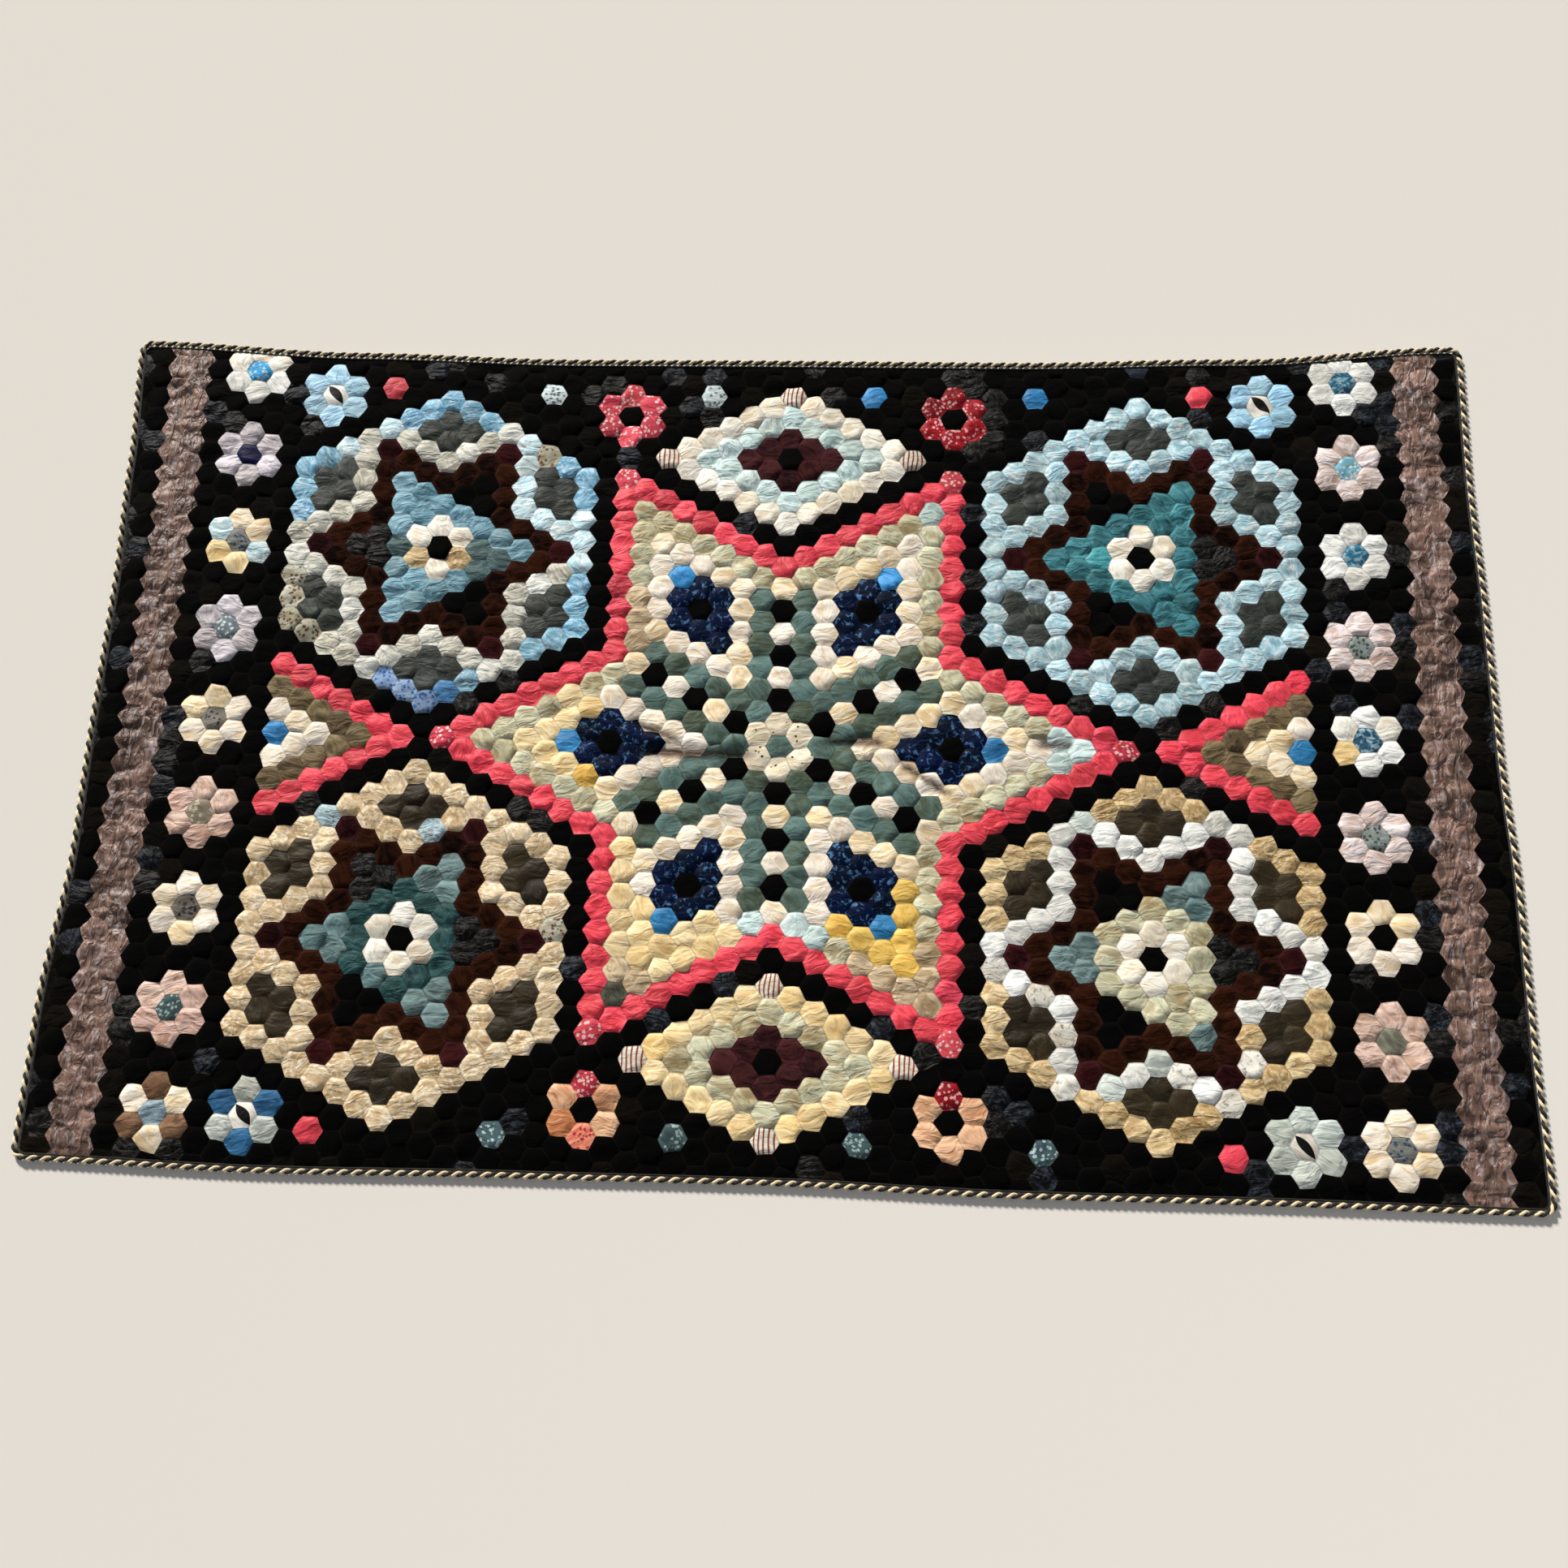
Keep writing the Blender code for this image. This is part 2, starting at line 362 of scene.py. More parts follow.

# %% [markdown]
# ## The cloths
# The scrap bag of such a quilt holds dress silks, velvets and a few printed cottons. Velvet is
# woven with a pile that swallows light. Satin floats its threads, so it gleams. Plain silk has gone
# dull with age, marbled silk was dyed in streaks, and printed cotton is matt. A table names each
# cloth with how it was made, its colours, how much it is crumpled and how full it stands over its
# turnings. Two close colours make one silk look alive, because every patch takes its own share of
# each, as scraps faded in different places do.

# %% The scrap bag
# Each cloth has its recipe, its main and its second colour, the third colour of a print, a streak, a rubbed
# ridge with a painted highlight or a satin's painted highlight, its wrinkles in mm and its crown in mm.
CLOTHS = {
    "black_velvet": ("velvet", "020202", "040303", None, 0.10, 0.9),
    "charcoal_silk": ("marbled", "0C0B0B", "060606", "2B2A29", 0.40, 0.8),
    "brown_black_velveteen": ("velvet", "0C0A07", "14110B", None, 0.20, 0.8),
    "blue_black_silk": ("marbled", "0C0F14", "060709", "2E3642", 0.40, 0.8),
    "slate_blue_silk": ("silk", "232C3A", "1A2230", None, 0.14, 0.8),
    "slate_green_silk": ("silk", "5B7875", "52604E", None, 0.15, 0.8),
    "dark_slate_silk": ("silk", "55574A", "45473D", None, 0.16, 0.8),
    "cream_silk": ("silk", "F7F0E4", "F7E1B2", None, 0.16, 0.9),
    "ivory_silk": ("silk", "F6F7F0", "F7EDD6", None, 0.16, 0.9),
    "buttercream_silk": ("silk", "F7E2B2", "F7D793", None, 0.17, 0.9),
    "gold_silk": ("silk", "F7D26D", "F7C352", None, 0.16, 0.9),
    "cream_sprigged_cotton": ("sprig", "EEE8D4", "E9DCBD", "4A3B33", 0.14, 0.8),
    "crimson_silk": ("silk", "F54A5D", "DD3148", None, 0.22, 0.9),
    "red_silk": ("silk", "E5455E", "CF2F47", None, 0.26, 0.9),
    "red_sprigged_cotton": ("print", "E05062", "B52B43", "F6CFCF", 0.14, 0.8),
    "sage_silk": ("silk", "CACCB0", "B2A57E", None, 0.22, 0.9),
    "khaki_silk": ("silk", "CDB998", "AA9778", None, 0.22, 0.9),
    "olive_silk": ("silk", "817253", "685843", None, 0.22, 0.9),
    "mint_silk": ("silk", "D6ECEC", "BBD7D4", None, 0.22, 0.9),
    "navy_printed_cotton": ("flecked", "011136", "011023", "5B8CC2", 0.14, 0.8),
    "bright_blue_silk": ("silk", "3193D8", "2078B6", None, 0.18, 0.9),
    "ice_blue_silk": ("marbled", "B6DDEA", "95C4D6", "DCE8EC", 0.22, 0.9),
    "grey_marbled_silk": ("marbled", "B7D5E0", "97B6C3", "8C9497", 0.22, 0.9),
    "summer_blue_silk": ("marbled", "82BFDC", "63A4CB", "B4D0E4", 0.24, 0.9),
    "blue_sprigged_cotton": ("print", "8FA8C6", "6A88B4", "2F5FA8", 0.14, 0.8),
    "deep_blue_silk": ("silk", "5186B8", "3A6593", None, 0.16, 0.8),
    "ice_white_silk": ("marbled", "C8ECF7", "BFE7F7", "F6F8F8", 0.22, 0.9),
    "oatmeal_silk": ("marbled", "E0E5E0", "C3C2B3", "EAE2D0", 0.26, 0.9),
    "brown_sprigged_cotton": ("print", "BEC1B3", "B2AF9B", "6E5038", 0.16, 0.8),
    "teal_silk": ("silk", "468995", "316B76", None, 0.24, 0.8),
    "aqua_silk": ("silk", "7EABBE", "5C90A6", None, 0.24, 0.8),
    "slate_teal_silk": ("silk", "567072", "445E62", None, 0.24, 0.8),
    "deep_teal_silk": ("silk", "2E5658", "214345", None, 0.24, 0.8),
    "dusty_teal_silk": ("silk", "799496", "618084", None, 0.24, 0.8),
    "turquoise_silk": ("silk", "4EB2BE", "3797A4", None, 0.20, 0.8),
    "brown_velvet": ("velvet", "30160B", "0B0402", "5E3324", 0.20, 0.9),
    "plum_velvet": ("velvet", "351314", "1C0708", "6E3848", 0.16, 0.9),
    "burgundy_velvet": ("velvet", "452425", "231316", "6B2C3A", 0.16, 0.9),
    "grey_satin": ("satin", "3B413D", "292F2C", None, 0.17, 0.6),
    "olive_satin": ("satin", "322916", "251D0F", None, 0.15, 0.6),
    "beige_silk": ("marbled", "DDC8A4", "C4A97D", "F4EBD4", 0.20, 0.9),
    "tan_silk": ("marbled", "D7C294", "BB9E6A", "E6D0A8", 0.26, 0.9),
    "white_silk": ("marbled", "EEF1EE", "DADED9", "FBFBF8", 0.18, 0.9),
    "ink_spotted_cotton": ("flecked", "ECECE4", "D6D6CE", "2A303C", 0.16, 0.8),
    "pale_grey_blue_silk": ("silk", "D2DCD5", "BAC8C4", None, 0.20, 0.9),
    "striped_silk": ("striped", "E4E5DA", "D9D5C5", "8E4A3E", 0.12, 0.8),
    "rose_silk": ("silk", "E94458", "CC3246", None, 0.16, 0.9),
    "pale_printed_cotton": ("print", "DEF1F7", "DBEFF7", "77807C", 0.14, 0.8),
    "blue_printed_cotton": ("blotched", "265471", "11314A", "A6C6D4", 0.14, 0.8),
    "sky_printed_cotton": ("print", "42B8F7", "34AEF7", "D5EAF6", 0.14, 0.8),
    "peach_silk": ("silk", "E5B792", "D59A74", None, 0.22, 0.9),
    "salmon_sprigged_cotton": ("print", "F19C81", "E47E69", "B03238", 0.14, 0.8),
    "pale_blue_silk": ("silk", "B0DDF7", "A1D6F7", None, 0.22, 0.9),
    "steel_blue_silk": ("silk", "346B97", "265580", None, 0.20, 0.9),
    "silver_grey_silk": ("silk", "C9CFC8", "ADB4AF", None, 0.22, 0.9),
    "leaf_on_white_silk": ("leaf", "F4F3EE", "E2E0DA", "0C0C0E", 0.10, 0.8),
    "mauve_grey_silk": ("silk", "D8D2DC", "BAB1B8", None, 0.24, 0.9),
    "pale_pink_silk": ("silk", "E9DFE1", "D0BFBD", None, 0.24, 0.9),
    "copper_silk": ("silk", "CD8959", "B97448", None, 0.24, 0.9),
    "dark_red_printed_cotton": ("print", "A71524", "850D1B", "E9A9AE", 0.16, 0.8),
    "aqua_grey_printed_cotton": ("print", "7D868A", "67747C", "C2D4D8", 0.14, 0.8),
    "aqua_printed_cotton": ("print", "93CCE4", "71AFCA", "DDF0F2", 0.14, 0.8),
    "teal_blue_printed_cotton": ("blotched", "2D7DA6", "154C6C", "A2CEDC", 0.14, 0.8),
    "khaki_grey_printed_cotton": ("print", "8F8776", "7A7261", "C8C2AE", 0.14, 0.8),
    "steel_streaked_silk": ("marbled", "88A2B4", "6E8B9B", "A4B8C4", 0.20, 0.9),
    "dusty_pink_silk": ("silk", "DEC2B5", "C8A59A", None, 0.24, 0.9),
    "cocoa_silk": ("silk", "906E53", "72553F", None, 0.20, 0.9),
    "grey_printed_cotton": ("print", "807C75", "68645E", "2E2F30", 0.14, 0.8),
    "blue_grey_printed_cotton": ("print", "7B7C78", "616565", "35485E", 0.14, 0.8),
    "grey_green_printed_cotton": ("print", "939C99", "7A8582", "3A4640", 0.14, 0.8),
    "teal_printed_cotton": ("print", "486066", "334952", "A9C6C8", 0.14, 0.8),
    "navy_silk": ("silk", "020C41", "01062D", None, 0.14, 0.8),
    "pale_grey_silk": ("silk", "96988B", "808275", None, 0.18, 0.8),
    "taupe_satin": ("crumpled", "866A5F", "543E35", "B9AFB4", 0.42, 0.25),
}
print(len(CLOTHS), "cloths in the scrap bag")

# %% [markdown]
# ## The layout
# A mosaic quilt is planned in rings. Turn any patch into one arm of a six-pointed star, and two
# sums tell its ring: how far out it is along the arm, and how far it is from the arm's side. The
# star, the medallions and the half stars at the sides are all read off from such sums, and the
# diamonds and flowers from plain distances. Nearly two hundred patches break the rule, where one
# silk ran out and a scrap took its place, and short lists hold those. A list of every patch would
# do the same work, but nobody could read a star in it.

# %% The great star
def into_arm(u, v):
    """Turns a patch by sixths of a turn into the arm that points along +X."""
    for turn in range(6):
        if u >= abs(v):
            return turn, u, v
        u, v = (u + v) // 2, (v - 3 * u) // 2
    return 0, u, v


def star_cloth(u, v):
    """The great star: a slate cross of spokes, six blue diamonds, sage and crimson borders."""
    _, u, v = into_arm(u, v)
    out, off_side = u + abs(v), u - abs(v)
    spoke = ("slate_green_silk", "cream_sprigged_cotton", "black_velvet", "cream_silk",
             "black_velvet", "cream_silk", "black_velvet", "cream_silk", "crimson_silk")
    if out > 16:
        return None
    if off_side == 0:
        return spoke[u]
    if out == 16:
        return "red_sprigged_cotton" if v == 0 else "crimson_silk"
    if off_side == 2 and out <= 12:
        return "slate_green_silk"
    if out == 14:
        return "sage_silk"
    if out == 12 or off_side == 4:
        return "cream_silk"
    if v == 0 and out > 6:
        return {8: "black_velvet", 10: "bright_blue_silk"}[out]
    return "navy_printed_cotton"


print("the star's tip is", star_cloth(16, 0), "and its heart", star_cloth(0, 0))

# %% The medallions
# For each medallion: its middle, its piece's name, its outline, the ring round its flower, its
# three light tips, its small diamonds, and whether the light tips point right.
MEDALLIONS = {
    (17, 17): ("far_right_medallion", "ice_blue_silk", "teal_silk", "teal_silk", "grey_satin", False),
    (-17, 17): ("far_left_medallion", "oatmeal_silk", "aqua_silk", "aqua_silk", "grey_satin", True),
    (-17, -17): ("near_left_medallion", "beige_silk", "deep_teal_silk", "dusty_teal_silk",
                 "olive_satin", False),
    (17, -17): ("near_right_medallion", "tan_silk", "sage_silk", "dusty_teal_silk",
                "olive_satin", False),
}


def medallion_cloth(u, v, outline, ring, tips, diamonds, points_right):
    """One medallion: a flower and its ring, velvet between them and the outline, small diamonds."""
    turn, u, v = into_arm(u, v)
    out, off_side = u + abs(v), u - abs(v)
    if out == 0:
        return "black_velvet"
    if (u, abs(v)) == (1, 1):
        return "ivory_silk"
    if out == 2 or (out == 4 and off_side == 0):
        return ring
    if out == 4:
        return tips if (turn % 2 == 0) == points_right else "black_velvet"
    if out == 6:
        return "plum_velvet" if v == 0 else "brown_velvet"
    if u > 7 or out < 8 or out > 14:
        return None
    if out == 8 or u == 7:
        return outline
    return diamonds


print(len(MEDALLIONS), "medallions, each with a heart of", medallion_cloth(0, 0, *[None] * 5))


# %% Diamonds and half stars
def diamond_cloth(u, v, far):
    """The two lying diamonds between the star's upper and lower arms."""
    ring = abs(u) + abs(v)
    if ring > 6:
        return None
    if ring == 6 and (v == 0 or (u == 0 and not (far and v < 0))):
        return "striped_silk"
    edge, band = ("ivory_silk", "mint_silk") if far else ("buttercream_silk", "sage_silk")
    return {0: "black_velvet", 2: "burgundy_velvet", 4: band, 6: edge}[ring]


def side_star_cloth(q, h):
    """The arms of two more stars that reach in from the sides and are cut off short."""
    u = 34 - abs(q)
    if u < 10 or u + abs(h) > 16 or u < abs(h):
        return None
    return {16: "crimson_silk", 14: "olive_silk", 12: "cream_silk", 10: "bright_blue_silk"}[u + abs(h)]


print("the far diamond's heart is", diamond_cloth(0, 0, True))
print("the first half star's tip is", side_star_cloth(18, 0))

# %% [markdown]
# The flowers are a patch and its six neighbours. The table gives their middles and the cloths of
# heart and petals: one name, or six names that start at the far petal and go round clockwise.

# %% Flowers
AROUND = ((0, 2), (1, 1), (1, -1), (0, -2), (-1, -1), (-1, 1))
PEACH_LEFT = ("red_sprigged_cotton", "peach_silk", "peach_silk", "salmon_sprigged_cotton",
              "copper_silk", "peach_silk")
PEACH_RIGHT = ("dark_red_printed_cotton",) + ("peach_silk",) * 5
STEEL = ("silver_grey_silk", "steel_blue_silk") * 3
COCOA = ("cocoa_silk", "cream_silk") * 3
HALF_CUT = ("cream_silk", "ivory_silk", "white_silk", "white_silk", "white_silk", "ivory_silk")
MIXED_LEFT = ("cream_silk", "cream_silk", "ice_white_silk", "buttercream_silk", "buttercream_silk",
              "ice_white_silk")
MIXED_RIGHT = ("white_silk", "ivory_silk", "white_silk", "white_silk", "buttercream_silk", "ivory_silk")
FLOWERS = {
    (-8, 30): ("black_velvet", "red_sprigged_cotton"),
    (8, 30): ("black_velvet", "dark_red_printed_cotton"),
    (-8, -30): ("black_velvet", PEACH_LEFT),
    (8, -30): ("black_velvet", PEACH_RIGHT),
    (-23, 31): ("leaf_on_white_silk", "pale_blue_silk"),
    (23, 31): ("leaf_on_white_silk", "pale_blue_silk"),
    (23, -31): ("leaf_on_white_silk", "pale_grey_blue_silk"),
    (-23, -31): ("leaf_on_white_silk", STEEL),
    (-27, 33): ("sky_printed_cotton", HALF_CUT),
    (-27, 25): ("navy_silk", "mauve_grey_silk"),
    (-27, 17): ("blue_grey_printed_cotton", MIXED_LEFT),
    (-27, 9): ("aqua_grey_printed_cotton", "mauve_grey_silk"),
    (-27, 1): ("grey_printed_cotton", "cream_silk"),
    (-27, -7): ("khaki_grey_printed_cotton", "dusty_pink_silk"),
    (-27, -15): ("grey_printed_cotton", "cream_silk"),
    (-27, -23): ("teal_printed_cotton", "dusty_pink_silk"),
    (-27, -31): ("steel_streaked_silk", COCOA),
    (27, 33): ("teal_blue_printed_cotton", "white_silk"),
    (27, 25): ("aqua_printed_cotton", "pale_pink_silk"),
    (27, 17): ("teal_blue_printed_cotton", "white_silk"),
    (27, 9): ("grey_green_printed_cotton", "pale_pink_silk"),
    (27, 1): ("blue_printed_cotton", MIXED_RIGHT),
    (27, -7): ("grey_green_printed_cotton", "pale_pink_silk"),
    (27, -15): ("black_velvet", "cream_silk"),
    (27, -23): ("pale_grey_silk", "dusty_pink_silk"),
    (27, -31): ("blue_grey_printed_cotton", "cream_silk"),
}
print(len(FLOWERS), "flowers")

# %% [markdown]
# A maker with a scrap bag doesn't hold to the plan. These lists give the single patches in the
# ground, and every patch that breaks its motif's rule. The ground itself is drawn from four blacks,
# and each side band is two columns of one brown satin.

# %% Scraps, bands and grounds
SCRAPS = {
    "pale_printed_cotton": [(-12, 32), (-4, 32)],
    "bright_blue_silk": [(4, 32), (12, 32)],
    "rose_silk": [(20, 32), (-20, 32), (20, -32), (-20, -32)],
    "teal_printed_cotton": [(-12, -32), (-4, -32), (4, -32), (12, -32)],
    "charcoal_silk": [
        (8, 34), (9, 35), (9, 33), (10, 32), (10, 30), (10, 28), (9, 27), (1, 35), (20, 34),
        (20, 18), (20, 16), (21, 17), (-20, 18), (-20, 16), (-21, 17), (-19, -11), (-18, -12),
        (-19, -13), (-14, -16), (-14, -18), (-13, -17), (20, -16), (20, -18), (21, -17)],
    "slate_blue_silk": [(17, 35)],
    "blue_black_silk": [(-18, 34), (29, 29), (-29, 29)],
    "brown_black_velveteen": [(19, 33), (21, 33), (21, 31), (19, 35), (22, 34), (-20, 34), (-25, 33)],
    "mint_silk": [(13, 1), (13, -1), (14, 0), (7, 21), (1, -15), (2, -16), (-1, -15)],
    "red_silk": [(15, 1), (-8, 12), (-8, 14), (8, -20)],
    "khaki_silk": [(-7, 9), (-7, 11), (-7, 13), (-7, -19), (-6, -20), (7, -21), (6, -20),
                   (7, -19), (7, -17), (5, -19), (4, -18)],
    "dark_slate_silk": [(-7, -21)],
    "gold_silk": [(-9, -3), (6, -12), (6, -14), (6, -16), (6, -18), (5, -17), (4, -16), (3, -15)],
    "buttercream_silk": [
        (-10, -2), (-10, 2), (-10, 4), (-11, 1), (-11, -1), (-9, 3), (-12, 0),
        (-7, -9), (-7, -11), (-7, -13), (-7, -15), (-7, -17), (-5, -19), (-4, -18), (-3, -17),
        (-2, -16), (-6, -14), (-6, -16), (-6, -18), (-5, -17), (-4, -16), (-3, -15)],
    "grey_marbled_silk": [(10, 14), (12, 14), (13, 13), (-21, -7), (-16, -8)],
    "turquoise_silk": [(15, 17)],
    "summer_blue_silk": [
        (-24, 24), (-24, 22), (-23, 25), (-19, 29), (-18, 30), (-17, 31), (-16, 30), (-15, 29),
        (-11, 25), (-10, 24), (-10, 22), (-10, 14), (-10, 12), (-10, 10), (-11, 9), (-12, 8),
        (-15, 5), (-24, 20)],
    "blue_sprigged_cotton": [(-19, 5), (-18, 4), (-17, 3)],
    "deep_blue_silk": [(-16, 4)],
    "ice_white_silk": [(-20, 28), (-22, 26), (-13, 27), (-13, 25), (-13, 23), (-13, 21), (-12, 20),
                       (-11, 19), (-10, 20), (-10, 18), (-10, 16)],
    "brown_sprigged_cotton": [(-24, 10), (-24, 12), (-24, 14), (-23, 9), (-12, 26), (-10, -16)],
    "slate_teal_silk": [(-15, 15), (-14, 16), (-15, 17), (-19, 17)],
    "tan_silk": [(-16, 16), (-18, 16)],
    "white_silk": [
        (13, -7), (13, -9), (13, -11), (13, -13), (12, -14), (11, -15), (10, -16), (11, -19),
        (15, -7), (16, -8), (17, -9), (18, -8), (19, -7), (20, -6), (21, -7), (21, -9), (21, -11),
        (21, -13), (22, -14), (23, -15), (23, -19), (22, -20), (21, -21), (13, -25), (13, -21),
        (19, -27), (16, -26), (24, -18)],
    "dusty_teal_silk": [(-18, -20), (19, -23)],
    "sage_silk": [(18, -22), (19, -21)],
    "ink_spotted_cotton": [(10, -18), (12, -20), (13, -23), (13, -27), (20, -28), (21, -25),
                           (24, -16), (18, -26)],
    "pale_grey_blue_silk": [(14, -6), (15, -27), (17, -25)],
}
# The columns of the bands, and the blacks of the ground between the bands and outside them.
BANDS = (30, 31)
GROUNDS = ("black_velvet",) * 17 + ("charcoal_silk", "brown_black_velveteen", "blue_black_silk")
EDGE_GROUNDS = ("blue_black_silk", "black_velvet", "brown_black_velveteen", "charcoal_silk",
                "black_velvet", "brown_black_velveteen", "black_velvet")
EDGE_COLUMNS = (29, 32, 33, 34)
COLUMNS, HALF_ROWS = 34, 36
print(sum(len(places) for places in SCRAPS.values()), "patches are scraps of their own")

# %% [markdown]
# ## Naming every patch
# Each place on the lattice now gets a motif and a cloth. A motif becomes one object later, so that
# each can be picked, hidden or recoloured on its own. The ground's cloths are drawn with a seeded
# generator: the real maker used several blacks, and the seed keeps them where they are.

# %% The patch table
SCRAP_AT = {place: cloth for cloth, places in SCRAPS.items() for place in places}
PETAL_AT = {}
for (flower_q, flower_h), (heart, petals) in FLOWERS.items():
    petals = petals if isinstance(petals, tuple) else (petals,) * len(AROUND)
    PETAL_AT[flower_q, flower_h] = heart
    for (u, v), petal in zip(AROUND, petals):
        PETAL_AT[flower_q + u, flower_h + v] = petal


def name_patch(q, h):
    """Gives the motif that a patch belongs to, and its cloth, or None for the black ground."""
    found = [
        ("flower_patches", PETAL_AT.get((q, h))),
        ("side_band_patches", "taupe_satin" if abs(q) in BANDS else None),
        ("great_star_patches", star_cloth(q, h)),
        ("half_star_patches", side_star_cloth(q, h)),
        ("diamond_patches", diamond_cloth(q, h - 26, True) or diamond_cloth(q, h + 26, False)),
    ]
    for (middle_q, middle_h), (motif, *cloths) in MEDALLIONS.items():
        found.append((motif, medallion_cloth(q - middle_q, h - middle_h, *cloths)))
    ground = "left_ground_patches" if q < 0 else "right_ground_patches"
    motif, cloth = next((pair for pair in found if pair[1]), (ground, None))
    return motif, SCRAP_AT.get((q, h), cloth)


rng = np.random.default_rng(2379)
PLACES, MOTIFS, PATCH_CLOTHS = [], [], []
for q in range(-COLUMNS, COLUMNS + 1):
    for h in range(-HALF_ROWS, HALF_ROWS + 1):
        if (q + h) % 2 == 0:
            motif, cloth = name_patch(q, h)
            blacks = EDGE_GROUNDS if abs(q) in EDGE_COLUMNS else GROUNDS
            drawn = blacks[rng.integers(len(blacks))]
            PLACES.append((q, h))
            MOTIFS.append(motif)
            PATCH_CLOTHS.append(cloth or drawn)
PLACES = np.array(PLACES)
MOTIFS = np.array(MOTIFS)
PATCH_CLOTHS = np.array(PATCH_CLOTHS)
for motif, count in zip(*np.unique(MOTIFS, return_counts=True)):
    print(f"{motif}: {count} patches")

# %% [markdown]
# ## One patch
# A patch is a flat hexagon pulled over paper, so it has a sharp dip at its seams, a small ridge
# where the turning lies under it, and a soft crown. One template is made with operators: a
# six-sided circle, subdivided into rings. The rings are then moved outwards so that two of them
# lie close to the seam, where the surface bends most. It stays light, at 96 faces, because it
# is repeated more than two thousand times.

# %% The template
RINGS = 4
# How far out each ring lies, as a share of the way from the middle to the seam.
RING_SHARES = np.array((0.0, 0.40, 0.74, 0.915, 1.0))
SIDE_ANGLES = np.radians(np.arange(30, 390, 60))
SIDE_NORMALS = np.stack((np.cos(SIDE_ANGLES), np.sin(SIDE_ANGLES)), axis=-1)
HALF_SECTOR = math.radians(30)

bm = bmesh.new()
bmesh.ops.create_circle(bm, cap_ends=True, cap_tris=True, segments=6, radius=1.0,
                        matrix=Matrix.Rotation(HALF_SECTOR, 4, "Z"))
bmesh.ops.subdivide_edges(bm, edges=bm.edges[:], cuts=RINGS - 1, use_grid_fill=True)
bmesh.ops.triangulate(bm, faces=bm.faces[:])
bmesh.ops.recalc_face_normals(bm, faces=bm.faces[:])
bm.verts.index_update()
TEMPLATE = np.array([vert.co[:2] for vert in bm.verts])
TEMPLATE_FACES = np.array([[vert.index for vert in face.verts] for face in bm.faces])
if bm.faces[0].normal.z < 0:
    TEMPLATE_FACES = TEMPLATE_FACES[:, ::-1]
bm.free()

ring = (TEMPLATE @ SIDE_NORMALS.T).max(axis=1) / math.cos(HALF_SECTOR)
moved_out = np.interp(ring, np.linspace(0, 1, RINGS + 1), RING_SHARES)
TEMPLATE *= (moved_out / np.maximum(ring, 1e-9))[:, None]
AT_SEAM = ring > 1 - 1e-4
TEMPLATE *= PATCH_SIDE
INWARD = APOTHEM - (TEMPLATE @ SIDE_NORMALS.T).max(axis=1)
CORNERS = PATCH_SIDE * np.stack((np.cos(SIDE_ANGLES - HALF_SECTOR),
                                 np.sin(SIDE_ANGLES - HALF_SECTOR)), axis=-1)
FROM_CORNER = np.linalg.norm(TEMPLATE[:, None] - CORNERS[None], axis=-1).min(axis=1)
print(f"one patch: {len(TEMPLATE)} points, {len(TEMPLATE_FACES)} faces")

# %% [markdown]
# ## The relief of the whole top
# The heights fall into two kinds. What the patches share, such as the lumps of the filling, the
# dip at the seams and the deeper pit where three corners meet, depends only on the place, so
# neighbours agree along their seam. What belongs to one patch, its crown, its tilt and its
# wrinkles, fades out before it gets there. The brown side bands are of a limp satin that has
# drawn up into long slanting folds, so they get a crumple of their own. A cloth simulation would
# find such folds too, but it is slow and hard to steer. Waves in seeded directions are quick, and
# they are the same in every run.

# %% Heights in metres
# The dip at a seam and the pit where three corners meet, with how far each reaches.
SEAM_DIP = 0.65 * MM
SEAM_DIP_REACH = 2.2 * MM
CORNER_PIT = 0.60 * MM
CORNER_PIT_REACH = 3.2 * MM
# The ridge over the turning, and how far it lies from the seam.
TURNING_RIDGE = 0.18 * MM
TURNING_WIDTH = 3.6 * MM
# The lumps and the puckers of the filling, and how far the seams wander sideways.
LUMPS = 0.65 * MM
PUCKERS = 0.65 * MM
WANDER = 1.1 * MM
# The bands: their folds, their middle, how far out the folds reach and fade, and the share of the
# seams' dip that is left in them.
BAND_CRUMPLE = 1.0 * MM
BAND_MIDDLE = 30.5 * COLUMN_STEP
BAND_REACH, BAND_FADE = 1.45 * COLUMN_STEP, 0.5 * COLUMN_STEP
BAND_SEAM_SHARE = 0.35
LEAST_HEIGHT = 1.5 * MM
# The patches end just inside the hem, on the turned edge of the lining, and sink there.
TURNED_EDGE = 1.6 * MM
EDGE_SINK = 0.7 * MM
EDGE_SINK_WIDTH = 5 * MM
FLAT_HEM_WIDTH = 7 * MM
HEM_SLOPE = 26 * MM


def waves(points, count, shortest, longest, seed):
    """A sum of gentle waves in seeded directions, about as high as 1."""
    draw = np.random.default_rng(seed)
    total = np.zeros(points.shape[:-1])
    for _ in range(count):
        angle, turn = draw.uniform(0, 2 * math.pi, 2)
        length = draw.uniform(shortest, longest)
        direction = np.array((math.cos(angle), math.sin(angle)))
        total += np.sin(2 * math.pi * (points @ direction) / length + turn)
    return total / math.sqrt(count)


def puckers(points):
    """Shallow folds that run along the quilt, where the filling has shrunk under the silks."""
    squeezed = points * np.array((0.38, 1.0))
    return waves(squeezed, 12, 12 * MM, 26 * MM, 17)


def wander(points):
    """Moves points sideways a little, because no two patches came out quite the same."""
    along = waves(points, 9, 19 * MM, 60 * MM, 71)
    across = waves(points, 9, 19 * MM, 60 * MM, 72)
    return points + WANDER * np.stack((along, across), axis=-1)


